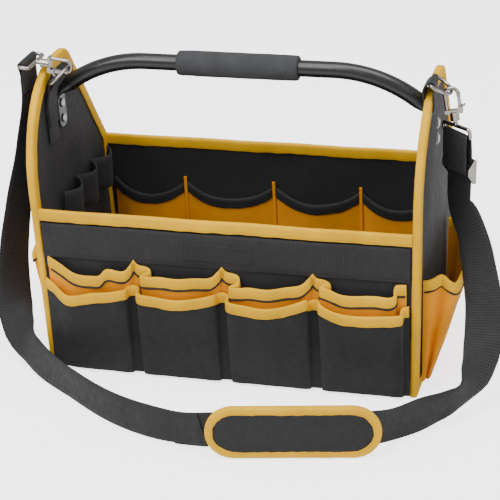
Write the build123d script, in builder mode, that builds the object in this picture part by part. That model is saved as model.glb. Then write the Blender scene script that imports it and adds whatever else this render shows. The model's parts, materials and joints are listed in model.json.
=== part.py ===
"""Open-top garden tool bag: fabric tote with a steel tube handle and a clip-on shoulder strap.

Frame: +X runs to the right end, +Y to the back, +Z up. The origin is the centre of the
base, on the floor. Everything is in millimetres.
"""

from build123d import *
from math import cos, radians, sin, tan
import os

# ---- Driving dimensions -------------------------------------------------------------
HALF_LENGTH = 192.0  # inner face of the end bindings, at the floor
HALF_DEPTH = 110.0  # outer face of the front and back corner bindings
RIM = 181.0  # height of the front and back panels
APEX = 316.0  # top of the gabled end panels
END_LEAN = 1.3  # degrees that each end panel leans outwards

FABRIC = 2.2  # laminated panel fabric
BOARD = 2.4  # stiffening board
TAPE = 1.2  # binding tape, one layer
TAPE_WIDTH = 12.0
WEBBING = 1.8
WEBBING_WIDTH = 38.0
POCKET_FABRIC = 1.6
GAP = 0.1  # between pieces that lie against each other

HANDLE_Y = -14.0
HANDLE_Z = 315.0
TUBE_RADIUS = 8.5
BEND_RADIUS = 143.0
BEND_ANGLE = 36.0
STRAIGHT_HALF = 100.0
GRIP_RADIUS = 13.0
GRIP_HALF = 64.0
PLATE = 2.5
PLATE_WIDTH = 20.0
RIVET_HEIGHTS = (247.0, 264.0)
RIVET_RADIUS = 2.4

HOOK_Y = -44.0  # plane of both snap hooks and of the line that the strap swings about
RING_WIRE = 1.8
RING_HALF_WIDTH = 14.8
RING_HEIGHT = 20.6
TAB_WIDTH = 25.0
HOOK_WIRE = 2.0
JAW_RADIUS = 6.6
JAW_CENTRE = 21.5
RING_SEAT = 24.2  # from the swivel's centre to the ring's wire, along the hook
GATE_PIVOT = 8.0
EYE_BAR = -20.5  # from the swivel's centre to the bar that holds the webbing
LEFT_SWIVEL = (-198.0, 318.5)  # X and Z of the left hook's swivel
RIGHT_BAR = (229.3, 264.6)  # X and Z of the right hook's bar
RIGHT_HOOK_LEAN = 8.0  # degrees from hanging straight down

POCKET_COUNT = 4
PAD_CENTRE = (101.5, -237.0, 29.0)
PAD_TURN = 11.3  # degrees that the pad is turned about +Z
PAD_LENGTH = 172.0
PAD_HEIGHT = 57.0
PAD_THICK = 7.0

pieces = {}

# ---- Shared planes ------------------------------------------------------------------
lean_sin = sin(radians(END_LEAN))
lean_cos = cos(radians(END_LEAN))
end_plane = Plane(origin=(HALF_LENGTH, 0, 0.25), x_dir=(0, 1, 0), z_dir=(lean_cos, 0, -lean_sin))
board_face = TAPE + GAP
fabric_face = board_face + BOARD + GAP
fabric_outside = fabric_face + FABRIC
wall_thickness = fabric_outside + GAP + TAPE


def wall_x(height):
    """X of the right end binding's inner face at a height."""
    return HALF_LENGTH + height * tan(radians(END_LEAN))


# ---- End panels ---------------------------------------------------------------------
GABLE_FRONT = 200.0  # height where the front edge starts to curve back
GABLE_RIDGE = -12.0  # Y where the curve reaches the top
GABLE_BROW = 8.0  # Y where the top starts to turn down the back slope
BROW_RADIUS = 22.0
BACK_SLOPE = 56.0  # degrees below horizontal


def end_outline(inset):
    """The gabled outline of an end panel, moved in by inset: X is depth and Y is height."""
    front = inset - HALF_DEPTH
    back = HALF_DEPTH - inset
    crown = APEX - inset
    brow_radius = BROW_RADIUS - inset
    brow_centre = (GABLE_BROW, APEX - BROW_RADIUS)
    slope_y = brow_centre[0] + brow_radius * sin(radians(BACK_SLOPE))
    slope_z = brow_centre[1] + brow_radius * cos(radians(BACK_SLOPE))
    shoulder = slope_z - (back - slope_y) * tan(radians(BACK_SLOPE))
    with BuildSketch() as outline:
        with BuildLine():
            Line((front, inset), (front, GABLE_FRONT))
            EllipticalCenterArc(
                (GABLE_RIDGE, GABLE_FRONT),
                GABLE_RIDGE - front,
                crown - GABLE_FRONT,
                start_angle=90,
                arc_size=90,
            )
            Line((GABLE_RIDGE, crown), (GABLE_BROW, crown))
            CenterArc(brow_centre, brow_radius, 90, -BACK_SLOPE)
            Line((slope_y, slope_z), (back, shoulder))
            Line((back, shoulder), (back, inset))
            Line((back, inset), (front, inset))
        make_face()
    return outline.sketch


rivet_spots = [(HANDLE_Y, height) for height in RIVET_HEIGHTS]
with BuildPart() as rivet_drill:
    with BuildSketch(end_plane.offset(-20)):
        with Locations(*rivet_spots):
            Circle(RIVET_RADIUS + 0.05)
    extrude(amount=40)

with BuildPart() as right_end_panel:
    with BuildSketch(end_plane.offset(fabric_face)):
        add(end_outline(TAPE + GAP))
    extrude(amount=FABRIC)
    add(rivet_drill.part, mode=Mode.SUBTRACT)
pieces["right_end_panel"] = right_end_panel

with BuildPart() as right_end_board:
    with BuildSketch(end_plane.offset(board_face)):
        add(end_outline(TAPE + GAP))
    extrude(amount=BOARD)
    add(rivet_drill.part, mode=Mode.SUBTRACT)
pieces["right_end_board"] = right_end_board

with BuildPart() as right_end_binding:
    with BuildSketch(end_plane):
        add(end_outline(0))
    extrude(amount=wall_thickness)
    with BuildSketch(end_plane.offset(TAPE)):
        add(end_outline(TAPE))
    extrude(amount=wall_thickness - 2 * TAPE, mode=Mode.SUBTRACT)
    with BuildSketch(end_plane.offset(-1)):
        add(end_outline(TAPE_WIDTH))
    extrude(amount=wall_thickness + 2, mode=Mode.SUBTRACT)
pieces["right_end_binding"] = right_end_binding

# ---- Front, back and bottom panels --------------------------------------------------
long_half_low = HALF_LENGTH - 0.2
long_half_high = wall_x(RIM) - 0.2
panel_outside = HALF_DEPTH - 2.1
panel_inside = panel_outside - FABRIC


def long_panel(face_y):
    """A front or back panel, wider at its rim because the ends lean out."""
    with BuildPart() as panel:
        with BuildSketch(Plane.XZ.offset(-face_y)):
            with BuildLine():
                Polyline(
                    (-long_half_low, 0.3),
                    (-long_half_high, RIM),
                    (long_half_high, RIM),
                    (long_half_low, 0.3),
                    close=True,
                )
            make_face()
        extrude(amount=-FABRIC)
    return panel


pieces["front_panel"] = long_panel(-panel_outside)
pieces["back_panel"] = long_panel(panel_inside)

with BuildPart() as bottom_panel:
    with BuildSketch():
        Rectangle(2 * long_half_low, 2 * (panel_inside - GAP))
    extrude(amount=FABRIC)
pieces["bottom_panel"] = bottom_panel

with BuildPart() as base_board:
    with BuildSketch(Plane.XY.offset(FABRIC + GAP)):
        RectangleRounded(2 * long_half_low - 8, 2 * panel_inside - 8, 6)
    extrude(amount=BOARD)
pieces["base_board"] = base_board


def rim_binding(side):
    """Folded tape over the rim of the front (side -1) or back (side 1) panel."""
    middle = side * (panel_outside + panel_inside) / 2
    slot = FABRIC + 2 * GAP
    half = wall_x(RIM - TAPE_WIDTH) - 0.2
    with BuildPart() as binding:
        with BuildSketch(Plane.YZ.offset(-half)):
            with Locations((middle, RIM + GAP + TAPE - TAPE_WIDTH / 2)):
                Rectangle(slot + 2 * TAPE, TAPE_WIDTH)
            with Locations((middle, RIM + GAP - TAPE_WIDTH / 2)):
                Rectangle(slot, TAPE_WIDTH, mode=Mode.SUBTRACT)
        extrude(amount=2 * half)
    return binding


pieces["front_rim_binding"] = rim_binding(-1)
pieces["back_rim_binding"] = rim_binding(1)

# ---- Webbing band and blank label on the front --------------------------------------
BAND_LOW = 130.0
BAND_HIGH = 168.0
with BuildPart() as front_webbing_band:
    with BuildSketch(Plane.XZ.offset(panel_outside + GAP)):
        with Locations((0, (BAND_LOW + BAND_HIGH) / 2)):
            Rectangle(2 * (wall_x(BAND_LOW) - 1), BAND_HIGH - BAND_LOW)
    extrude(amount=WEBBING)
pieces["front_webbing_band"] = front_webbing_band

with BuildPart() as blank_label:
    with BuildSketch(Plane.XZ.offset(panel_outside + 2 * GAP + WEBBING)):
        with Locations((-2.5, 148)):
            RectangleRounded(73, 20, 1.5)
    extrude(amount=0.8)
pieces["blank_label"] = blank_label

# ---- Rows of bulging pockets --------------------------------------------------------
FRONT_POCKET_HALF = 190.0
INNER_POCKET_HALF = 188.0
POCKET_FLOOR = 6.0
POCKET_TAPE = 12.0


def bulged_row(half, near, depth, bulge, side):
    """The plan of a row of bulging sheets. near is |Y| of their wall side at the dividers."""
    width = 2 * half / POCKET_COUNT
    edges = [-half + width * i for i in range(POCKET_COUNT + 1)]
    with BuildSketch() as row:
        with BuildLine():
            for face in (near, near + depth):
                for a, b in zip(edges, edges[1:]):
                    middle = ((a + b) / 2, side * (face + bulge))
                    ThreePointArc((a, side * face), middle, (b, side * face))
            Line((-half, side * near), (-half, side * (near + depth)))
            Line((half, side * near), (half, side * (near + depth)))
        make_face()
    return row.sketch


def pocket_sheet(half, near, bulge, side, low, high):
    """A row of bulging pocket fronts from low to high."""
    with BuildPart() as sheet:
        with BuildSketch(Plane.XY.offset(low)):
            add(bulged_row(half, near, POCKET_FABRIC, bulge, side))
        extrude(amount=high - low)
    return sheet


def bound_rim(half, near, bulge, side, high):
    """Folded tape over the rim of a row of pockets whose sheet starts at near."""
    top = high + GAP + TAPE
    inner_leg = near - GAP - TAPE
    outer_leg = near + POCKET_FABRIC + GAP
    with BuildPart() as binding:
        with BuildSketch(Plane.XY.offset(top - POCKET_TAPE)):
            add(bulged_row(half, inner_leg, TAPE, bulge, side))
            add(bulged_row(half, outer_leg, TAPE, bulge, side))
        extrude(amount=POCKET_TAPE)
        with BuildSketch(Plane.XY.offset(high + GAP)):
            add(bulged_row(half, inner_leg, outer_leg + TAPE - inner_leg, bulge, side))
        extrude(amount=TAPE)
    return binding


REAR_LAYER = panel_outside + TAPE + 2 * GAP
REAR_RIM = 119.0
REAR_BULGE = 7.0
FRONT_LAYER = REAR_LAYER + POCKET_FABRIC + TAPE + 2 * GAP
FRONT_RIM = 101.0
FRONT_BULGE = 10.0
FLOOR_LOW = 3.0

rear_layer = pocket_sheet(FRONT_POCKET_HALF, REAR_LAYER, REAR_BULGE, -1, POCKET_FLOOR, REAR_RIM)
pieces["front_pocket_rear_layer"] = rear_layer
rear_binding = bound_rim(FRONT_POCKET_HALF, REAR_LAYER, REAR_BULGE, -1, REAR_RIM)
pieces["front_pocket_rear_binding"] = rear_binding

with BuildPart() as front_pocket_front_layer:
    with BuildSketch(Plane.XY.offset(FLOOR_LOW)):
        add(bulged_row(FRONT_POCKET_HALF, FRONT_LAYER, POCKET_FABRIC, FRONT_BULGE, -1))
    extrude(amount=FRONT_RIM - FLOOR_LOW)
    floor_depth = FRONT_LAYER + POCKET_FABRIC - panel_outside - GAP
    with BuildSketch(Plane.XY.offset(FLOOR_LOW)):
        add(bulged_row(FRONT_POCKET_HALF, FRONT_LAYER, POCKET_FABRIC, FRONT_BULGE, -1))
        with Locations((0, -panel_outside - GAP - floor_depth / 2)):
            Rectangle(2 * FRONT_POCKET_HALF, floor_depth)
    extrude(amount=POCKET_FABRIC)
pieces["front_pocket_front_layer"] = front_pocket_front_layer

front_binding = bound_rim(FRONT_POCKET_HALF, FRONT_LAYER, FRONT_BULGE, -1, FRONT_RIM)
pieces["front_pocket_front_binding"] = front_binding

# The inner row hangs on the back panel and bulges towards the front.
INNER_RIM = 112.0
INNER_BULGE = -9.0
INNER_LAYER = panel_inside - TAPE - 2 * GAP - POCKET_FABRIC

inner_row = pocket_sheet(INNER_POCKET_HALF, INNER_LAYER, INNER_BULGE, 1, POCKET_FLOOR, INNER_RIM)
pieces["inner_back_pockets"] = inner_row
inner_binding = bound_rim(INNER_POCKET_HALF, INNER_LAYER, INNER_BULGE, 1, INNER_RIM)
pieces["inner_back_pocket_binding"] = inner_binding

# ---- Side pockets on the end panels -------------------------------------------------
SIDE_FRONT = -84.0
SIDE_BACK = 62.0
SIDE_RIM = 122.0
SIDE_REACH = 33.0
SIDE_FOOT = 7.0
SIDE_KNEE = 104.0
SIDE_LOW = 4.0
side_middle = (SIDE_FRONT + SIDE_BACK) / 2
side_width = SIDE_BACK - SIDE_FRONT
side_back_x = wall_x(SIDE_RIM) + fabric_outside + TAPE + 2 * GAP


def pouch_profile(inset):
    """The pouch seen along Y, pulled in by inset and open at its rim when inset isn't zero."""
    with BuildSketch() as profile:
        with BuildLine():
            Polyline(
                (side_back_x + inset, SIDE_LOW + inset),
                (side_back_x + SIDE_FOOT - inset, SIDE_LOW + inset),
                (side_back_x + SIDE_REACH - inset, SIDE_KNEE),
                (side_back_x + SIDE_REACH - inset, SIDE_RIM + inset),
                (side_back_x + inset, SIDE_RIM + inset),
                close=True,
            )
        make_face()
    return profile.sketch


with BuildPart() as right_side_pocket:
    with BuildSketch(Plane.XZ.offset(-SIDE_BACK)):
        add(pouch_profile(0))
    extrude(amount=side_width)
    with BuildSketch(Plane.XZ.offset(-SIDE_BACK + POCKET_FABRIC)):
        add(pouch_profile(POCKET_FABRIC))
    extrude(amount=side_width - 2 * POCKET_FABRIC, mode=Mode.SUBTRACT)
pieces["right_side_pocket"] = right_side_pocket

# The tape folds over the pouch's rim: an outer leg, an inner leg and the fold between them.
side_top = SIDE_RIM + GAP + TAPE
tape_outside = TAPE + GAP
tape_inside = -POCKET_FABRIC - GAP - TAPE
with BuildPart() as right_side_pocket_binding:
    for outer, inner, low in (
        (tape_outside, GAP, side_top - POCKET_TAPE),
        (-POCKET_FABRIC - GAP, tape_inside, side_top - POCKET_TAPE),
        (tape_outside, tape_inside, SIDE_RIM + GAP),
    ):
        with BuildSketch(Plane.XY.offset(low)):
            with Locations((side_back_x + SIDE_REACH / 2, side_middle)):
                Rectangle(SIDE_REACH + 2 * outer, side_width + 2 * outer)
                Rectangle(SIDE_REACH + 2 * inner, side_width + 2 * inner, mode=Mode.SUBTRACT)
        extrude(amount=side_top - low)
pieces["right_side_pocket_binding"] = right_side_pocket_binding

# ---- Tool loops inside the left end -------------------------------------------------
LOOP_LOW = 134.0
LOOP_HIGH = 172.0
LOOP_FRONT = -46.0
LOOP_PITCH = 46.0
LOOP_BULGE = 15.0
with BuildPart() as left_tool_loops:
    loop_wall = wall_x(LOOP_LOW) - 0.4
    with BuildSketch(Plane.XY.offset(LOOP_LOW)):
        with BuildLine():
            for i in range(3):
                front = LOOP_FRONT + LOOP_PITCH * i
                back = front + LOOP_PITCH
                middle = (front + back) / 2
                ThreePointArc(
                    (-loop_wall, front), (LOOP_BULGE - loop_wall, middle), (-loop_wall, back)
                )
                ThreePointArc(
                    (WEBBING - loop_wall, front),
                    (WEBBING + LOOP_BULGE - loop_wall, middle),
                    (WEBBING - loop_wall, back),
                )
            last = LOOP_FRONT + 3 * LOOP_PITCH
            Line((-loop_wall, LOOP_FRONT), (WEBBING - loop_wall, LOOP_FRONT))
            Line((-loop_wall, last), (WEBBING - loop_wall, last))
        make_face()
    extrude(amount=LOOP_HIGH - LOOP_LOW)
pieces["left_tool_loops"] = left_tool_loops

# ---- Handle -------------------------------------------------------------------------
bend_end_x = STRAIGHT_HALF + BEND_RADIUS * sin(radians(BEND_ANGLE))
bend_end_z = HANDLE_Z - BEND_RADIUS * (1 - cos(radians(BEND_ANGLE)))
plate_top = 270.0
plate_low = 238.0
plate_middle = (board_face - GAP) - PLATE / 2
plate_x = wall_x(plate_top) + plate_middle * lean_cos
# Each section of the right end: X, Z, steepness in degrees, width along Y and thickness.
end_sections = (
    (bend_end_x, bend_end_z, BEND_ANGLE, 2 * TUBE_RADIUS, 2 * TUBE_RADIUS),
    (bend_end_x + 6.5, bend_end_z - 5.2, 44, 18.5, 11.5),
    (plate_x - 2.6, plate_top + 7.5, 62, PLATE_WIDTH, 5.5),
    (plate_x, plate_top, 90 - END_LEAN, PLATE_WIDTH, PLATE),
)
with BuildPart() as handle_end:
    for x, z, steep, width, thick in end_sections:
        facing = (cos(radians(steep)), 0, -sin(radians(steep)))
        with BuildSketch(Plane(origin=(x, HANDLE_Y, z), x_dir=(0, 1, 0), z_dir=facing)):
            RectangleRounded(width, thick, thick / 2 - 0.01)
    loft()
    with BuildSketch(end_plane.offset(plate_middle - PLATE / 2)) as plate:
        with Locations((HANDLE_Y, (plate_top + plate_low) / 2)):
            Rectangle(PLATE_WIDTH, plate_top - plate_low + 0.4)
        fillet(plate.vertices().group_by(Axis.Y)[0], 8)
    extrude(amount=PLATE)
    add(rivet_drill.part, mode=Mode.SUBTRACT)

with BuildPart() as handle_tube:
    with BuildLine(Plane.XZ.offset(-HANDLE_Y)) as tube_path:
        Line((0, HANDLE_Z), (STRAIGHT_HALF, HANDLE_Z))
        CenterArc((STRAIGHT_HALF, HANDLE_Z - BEND_RADIUS), BEND_RADIUS, 90, -BEND_ANGLE)
    with BuildSketch(Plane(origin=(0, HANDLE_Y, HANDLE_Z), x_dir=(0, 1, 0), z_dir=(1, 0, 0))):
        Circle(TUBE_RADIUS)
    sweep(path=tube_path.wires()[0])
    add(handle_end.part)
    mirror(about=Plane.YZ)
pieces["handle_tube"] = handle_tube

with BuildPart() as foam_grip:
    with BuildSketch(Plane.YZ.offset(-GRIP_HALF)):
        with Locations((HANDLE_Y, HANDLE_Z)):
            Circle(GRIP_RADIUS)
            Circle(TUBE_RADIUS + 0.05, mode=Mode.SUBTRACT)
    extrude(amount=2 * GRIP_HALF)
    fillet(edges().filter_by(GeomType.CIRCLE).group_by(SortBy.RADIUS)[-1], 2.0)
pieces["foam_grip"] = foam_grip

HEAD_RADIUS = 4.6
HEAD_THICK = 1.8
WASHER_RADIUS = 6.0
WASHER_THICK = 0.9
head_inside = plate_middle - PLATE / 2 - 0.05 - HEAD_THICK
head_outside = fabric_outside + WASHER_THICK + 0.1
with BuildPart() as handle_rivets:
    for depth in (head_inside, head_outside):
        with BuildSketch(end_plane.offset(depth)):
            with Locations(*rivet_spots):
                Circle(HEAD_RADIUS)
        extrude(amount=HEAD_THICK)
    fillet(edges().filter_by(GeomType.CIRCLE), 0.85)
    with BuildSketch(end_plane.offset(head_inside + HEAD_THICK / 2)):
        with Locations(*rivet_spots):
            Circle(RIVET_RADIUS)
    extrude(amount=head_outside - head_inside)
    mirror(about=Plane.YZ)
pieces["handle_rivets"] = handle_rivets

with BuildPart() as rivet_washers:
    with BuildSketch(end_plane.offset(fabric_outside + 0.05)):
        with Locations(*rivet_spots):
            Circle(WASHER_RADIUS)
            Circle(RIVET_RADIUS + 0.05, mode=Mode.SUBTRACT)
    extrude(amount=WASHER_THICK)
    mirror(about=Plane.YZ)
pieces["rivet_washers"] = rivet_washers

# ---- Where the hooks hang -----------------------------------------------------------
# Each hook has a plane: its X runs from the swivel to the jaw's tip, and its Z along the
# ring's wire. The strap swings about the line through the left hook's swivel and the
# middle of the right hook's bar.
swing_length = ((RIGHT_BAR[0] - LEFT_SWIVEL[0]) ** 2 + (RIGHT_BAR[1] - LEFT_SWIVEL[1]) ** 2) ** 0.5
swing_x = (RIGHT_BAR[0] - LEFT_SWIVEL[0]) / swing_length
swing_z = (RIGHT_BAR[1] - LEFT_SWIVEL[1]) / swing_length
left_hook_plane = Plane(
    origin=(LEFT_SWIVEL[0], HOOK_Y, LEFT_SWIVEL[1]), x_dir=(swing_x, 0, swing_z), z_dir=(0, -1, 0)
)
hang = (-sin(radians(RIGHT_HOOK_LEAN)), 0, cos(radians(RIGHT_HOOK_LEAN)))
right_swivel = (RIGHT_BAR[0] - EYE_BAR * hang[0], HOOK_Y, RIGHT_BAR[1] - EYE_BAR * hang[2])
right_hook_plane = Plane(origin=right_swivel, x_dir=hang, z_dir=(0, -1, 0))


def seat(hook_plane):
    """The point where a hook holds its ring."""
    return hook_plane.from_local_coords(Vector(RING_SEAT, 0, 0))


# Degrees above the inward horizontal at which each ring lies, from its bar to its seat.
LEFT_RING_RISE = 45.0
RIGHT_RING_FALL = 30.0
left_ring_dir = Vector(cos(radians(LEFT_RING_RISE)), 0, sin(radians(LEFT_RING_RISE)))
right_ring_dir = Vector(cos(radians(RIGHT_RING_FALL)), 0, -sin(radians(RIGHT_RING_FALL)))
left_ring_bar = seat(left_hook_plane) - left_ring_dir * RING_HEIGHT
right_ring_bar = seat(right_hook_plane) - right_ring_dir * RING_HEIGHT


# ---- D-rings and their tabs ---------------------------------------------------------
def d_ring(bar, direction):
    """A D-ring with its straight bar along Y through bar, its bow towards direction."""
    ring_plane = Plane(origin=bar, x_dir=(0, 1, 0), z_dir=Vector(0, 1, 0).cross(direction))
    leg = RING_HEIGHT - RING_HALF_WIDTH
    rounding = 2.2
    corner = RING_HALF_WIDTH - rounding
    with BuildPart() as ring:
        with BuildLine(ring_plane) as bow:
            Line((0, 0), (corner, 0))
            CenterArc((corner, rounding), rounding, -90, 90)
            Line((RING_HALF_WIDTH, rounding), (RING_HALF_WIDTH, leg))
            CenterArc((0, leg), RING_HALF_WIDTH, 0, 90)
        with BuildSketch(Plane(origin=bar, x_dir=ring_plane.z_dir, z_dir=(0, 1, 0))):
            Circle(RING_WIRE)
        sweep(path=bow.wires()[0])
        mirror(about=Plane.XZ.offset(-HOOK_Y))
    return ring


pieces["left_d_ring"] = d_ring(left_ring_bar, left_ring_dir)
pieces["right_d_ring"] = d_ring(right_ring_bar, right_ring_dir)

TAB = 1.6
TAB_LOW = 232.0
tab_bore = RING_WIRE + 0.08
tab_inside = -0.3 - TAB / 2  # distance of the tab's middle from the binding's inner face
tab_outside = wall_thickness + 0.3 + TAB / 2
tab_side = Plane.XZ.offset(-HOOK_Y - TAB_WIDTH / 2)


def ring_tab(points, bar, turned):
    """A webbing tab that follows points in XZ, across its width, round a ring's bar."""
    with BuildPart() as tab:
        with BuildSketch(tab_side):
            with BuildLine() as middle_line:
                Polyline(*points)
                offset(amount=TAB / 2, kind=Kind.INTERSECTION)
            make_face(middle_line.wires()[-1].edges())
            if turned:
                with Locations((bar.X, bar.Z)):
                    Circle(tab_bore + TAB)
            with Locations((bar.X, bar.Z)):
                Circle(tab_bore, mode=Mode.SUBTRACT)
        extrude(amount=TAB_WIDTH)
    return tab


left_tab_points = (
    (-wall_x(TAB_LOW) - tab_inside, TAB_LOW),
    (-wall_x(272) - tab_inside, 272.0),
    (left_ring_bar.X - 1.8, left_ring_bar.Z - 1.8),
)
pieces["left_ring_tab"] = ring_tab(left_tab_points, left_ring_bar, True)

tab_bend = right_ring_bar.Z - 3.4
tab_turn = tab_bore + TAB / 2
right_tab_points = (
    (wall_x(TAB_LOW) + tab_inside, TAB_LOW),
    (wall_x(tab_bend) + tab_inside, tab_bend),
    (right_ring_bar.X - tab_turn, right_ring_bar.Z + 0.3),
    (right_ring_bar.X - 0.7 * tab_turn, right_ring_bar.Z + 0.75 * tab_turn),
    (right_ring_bar.X, right_ring_bar.Z + tab_turn),
    (right_ring_bar.X + 0.7 * tab_turn, right_ring_bar.Z + 0.75 * tab_turn),
    (right_ring_bar.X + tab_turn, right_ring_bar.Z),
    (wall_x(290) + tab_outside, 290.0),
)
pieces["right_ring_tab"] = ring_tab(right_tab_points, right_ring_bar, False)


# ---- Snap hooks ---------------------------------------------------------------------
EAR = 3.2
GATE_HALF = 1.8
PIN_RADIUS = 0.8
HUB_RADIUS = 1.9
COLLAR_RADIUS = 4.6
SHANK_RADIUS = 2.3
EYE_WIRE = 2.0
EYE_HALF = 21.8
EYE_CROSS = -11.0
pivot = (GATE_PIVOT, -JAW_RADIUS)
gate_tip = JAW_CENTRE - 2.3


def across_hook(hook_plane, distance):
    """A plane across a hook's axis at a distance from its swivel, facing the tip."""
    origin = hook_plane.from_local_coords(Vector(distance, 0, 0))
    return Plane(origin=origin, x_dir=hook_plane.z_dir, z_dir=hook_plane.x_dir)


def hook_body(hook_plane):
    """The swivel collar, the jaw's wire and the two ears that carry the gate's pin."""
    jaw_start = hook_plane.from_local_coords(Vector(4.5, JAW_RADIUS, 0))
    with BuildPart() as body:
        with BuildSketch(across_hook(hook_plane, -5)):
            Circle(COLLAR_RADIUS)
        extrude(amount=9)
        with BuildSketch(hook_plane.offset(-EAR)):
            with Locations((4.25, 0)):
                Rectangle(3.5, 2 * (JAW_RADIUS + HOOK_WIRE))
            with Locations((7.75, -JAW_RADIUS)):
                Rectangle(4.5, 2 * HOOK_WIRE)
        extrude(amount=2 * EAR)
        with BuildSketch(hook_plane.offset(-GATE_HALF - GAP)):
            with Locations((8.5, -JAW_RADIUS)):
                Rectangle(5, 3 * HOOK_WIRE)
        extrude(amount=2 * (GATE_HALF + GAP), mode=Mode.SUBTRACT)
        with BuildSketch(hook_plane.offset(-2 * EAR)):
            with Locations(pivot):
                Circle(PIN_RADIUS + 0.02)
        extrude(amount=4 * EAR, mode=Mode.SUBTRACT)
        with BuildSketch(across_hook(hook_plane, -6)):
            Circle(SHANK_RADIUS + 0.08)
        extrude(amount=5, mode=Mode.SUBTRACT)
        with BuildSketch(across_hook(hook_plane, -1.5)):
            Circle(3.4)
        extrude(amount=3, mode=Mode.SUBTRACT)
        with BuildLine(hook_plane) as jaw:
            Line((4.5, JAW_RADIUS), (JAW_CENTRE, JAW_RADIUS))
            CenterArc((JAW_CENTRE, 0), JAW_RADIUS, 90, -180)
            Line((JAW_CENTRE, -JAW_RADIUS), (JAW_CENTRE - 2, -JAW_RADIUS))
        with BuildSketch(Plane(origin=jaw_start, x_dir=hook_plane.z_dir, z_dir=hook_plane.x_dir)):
            Circle(HOOK_WIRE)
        sweep(path=jaw.wires()[0])
    return body


def hook_gate(hook_plane):
    """The sprung gate with its thumb lever. It opens into the jaw about its pin."""
    with BuildPart() as gate:
        with BuildSketch(hook_plane.offset(-GATE_HALF)):
            with Locations(pivot):
                Circle(HUB_RADIUS)
            with Locations(((GATE_PIVOT + gate_tip) / 2, -JAW_RADIUS)):
                Rectangle(gate_tip - GATE_PIVOT, 3)
            with BuildLine():
                Polyline((6.8, -7.6), (9.4, -7.8), (11.6, -11.6), (10.0, -12.2), close=True)
            make_face()
        extrude(amount=2 * GATE_HALF)
        with BuildSketch(hook_plane.offset(-2 * GATE_HALF)):
            with Locations(pivot):
                Circle(PIN_RADIUS + 0.07)
        extrude(amount=4 * GATE_HALF, mode=Mode.SUBTRACT)
        with BuildSketch(hook_plane.offset(-0.6)):
            with Locations(pivot):
                Circle(HUB_RADIUS + 0.1)
        extrude(amount=1.2, mode=Mode.SUBTRACT)
    return gate


def gate_pin(hook_plane):
    """The rivet that the gate turns on."""
    with BuildPart() as pin:
        with BuildSketch(hook_plane.offset(-EAR)):
            with Locations(pivot):
                Circle(PIN_RADIUS)
        extrude(amount=2 * EAR)
    return pin


def gate_spring(hook_plane):
    """The torsion spring's coil, between the gate's two hub discs."""
    with BuildPart() as spring:
        with BuildSketch(hook_plane.offset(-0.5)):
            with Locations(pivot):
                Circle(HUB_RADIUS - 0.2)
                Circle(PIN_RADIUS + 0.1, mode=Mode.SUBTRACT)
        extrude(amount=1.0)
    return spring


def swivel_eye(hook_plane, bar_dir):
    """The headed shank that turns in the collar, and the loop that holds the webbing."""
    middle = hook_plane.from_local_coords(Vector(EYE_CROSS, 0, 0))
    loop_plane = Plane(origin=middle, x_dir=bar_dir, z_dir=bar_dir.cross(hook_plane.x_dir))
    height = EYE_CROSS - EYE_BAR
    rounding = 3.0
    corner = EYE_HALF - rounding
    with BuildPart() as eye:
        with BuildSketch(across_hook(hook_plane, -1.3)):
            Circle(3.2)
        extrude(amount=2.3)
        with BuildSketch(across_hook(hook_plane, EYE_CROSS)):
            Circle(SHANK_RADIUS)
        extrude(amount=-EYE_CROSS - 1.2)
        with BuildLine(loop_plane) as half_loop:
            Line((0, 0), (corner, 0))
            CenterArc((corner, -rounding), rounding, 90, -90)
            Line((EYE_HALF, -rounding), (EYE_HALF, rounding - height))
            CenterArc((corner, rounding - height), rounding, 0, -90)
            Line((corner, -height), (0, -height))
        with BuildSketch(Plane(origin=middle, x_dir=loop_plane.z_dir, z_dir=bar_dir)):
            Circle(EYE_WIRE)
        sweep(path=half_loop.wires()[0])
        mirror(about=Plane(origin=middle, z_dir=bar_dir))
    return eye


# The right bar is turned and tilted so that the webbing faces the front left.
STRAND_DIR = Vector(-0.02, -0.06, -0.998).normalized()
right_across = Vector(0.70, -0.70, 0.0)
right_bar_dir = (right_across - STRAND_DIR * right_across.dot(STRAND_DIR)).normalized()
right_bar_level = (right_across - Vector(*hang) * right_across.dot(Vector(*hang))).normalized()
left_bar_dir = Vector(0, 1, 0)

for side, hook_plane, bar_dir in (
    ("left", left_hook_plane, left_bar_dir),
    ("right", right_hook_plane, right_bar_level),
):
    pieces[side + "_hook_body"] = hook_body(hook_plane)
    pieces[side + "_hook_gate"] = hook_gate(hook_plane)
    pieces[side + "_gate_pin"] = gate_pin(hook_plane)
    pieces[side + "_gate_spring"] = gate_spring(hook_plane)
    pieces[side + "_swivel_eye"] = swivel_eye(hook_plane, bar_dir)

# ---- Left end pieces that mirror the right ones -------------------------------------
for name in ("end_panel", "end_board", "end_binding", "side_pocket", "side_pocket_binding"):
    with BuildPart() as mirrored:
        mirror(pieces["right_" + name].part, about=Plane.YZ)
    pieces["left_" + name] = mirrored

# ---- Shoulder strap -----------------------------------------------------------------
TURN_BORE = EYE_WIRE + 0.1
TURN_OUTER = TURN_BORE + WEBBING
left_bar = left_hook_plane.from_local_coords(Vector(EYE_BAR, 0, 0))
right_bar = right_hook_plane.from_local_coords(Vector(EYE_BAR, 0, 0))
LEFT_TAIL = 24.0

with BuildPart() as strap_left_loop:
    with BuildSketch(Plane.XZ.offset(-HOOK_Y - WEBBING_WIDTH / 2)):
        with Locations((left_bar.X, left_bar.Z)):
            Circle(TURN_OUTER)
        with Locations((left_bar.X, left_bar.Z - LEFT_TAIL / 2)):
            Rectangle(2 * WEBBING + 0.2, LEFT_TAIL)
        with Locations((left_bar.X, left_bar.Z)):
            Circle(TURN_BORE, mode=Mode.SUBTRACT)
    extrude(amount=WEBBING_WIDTH)
pieces["strap_left_loop"] = strap_left_loop

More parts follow.
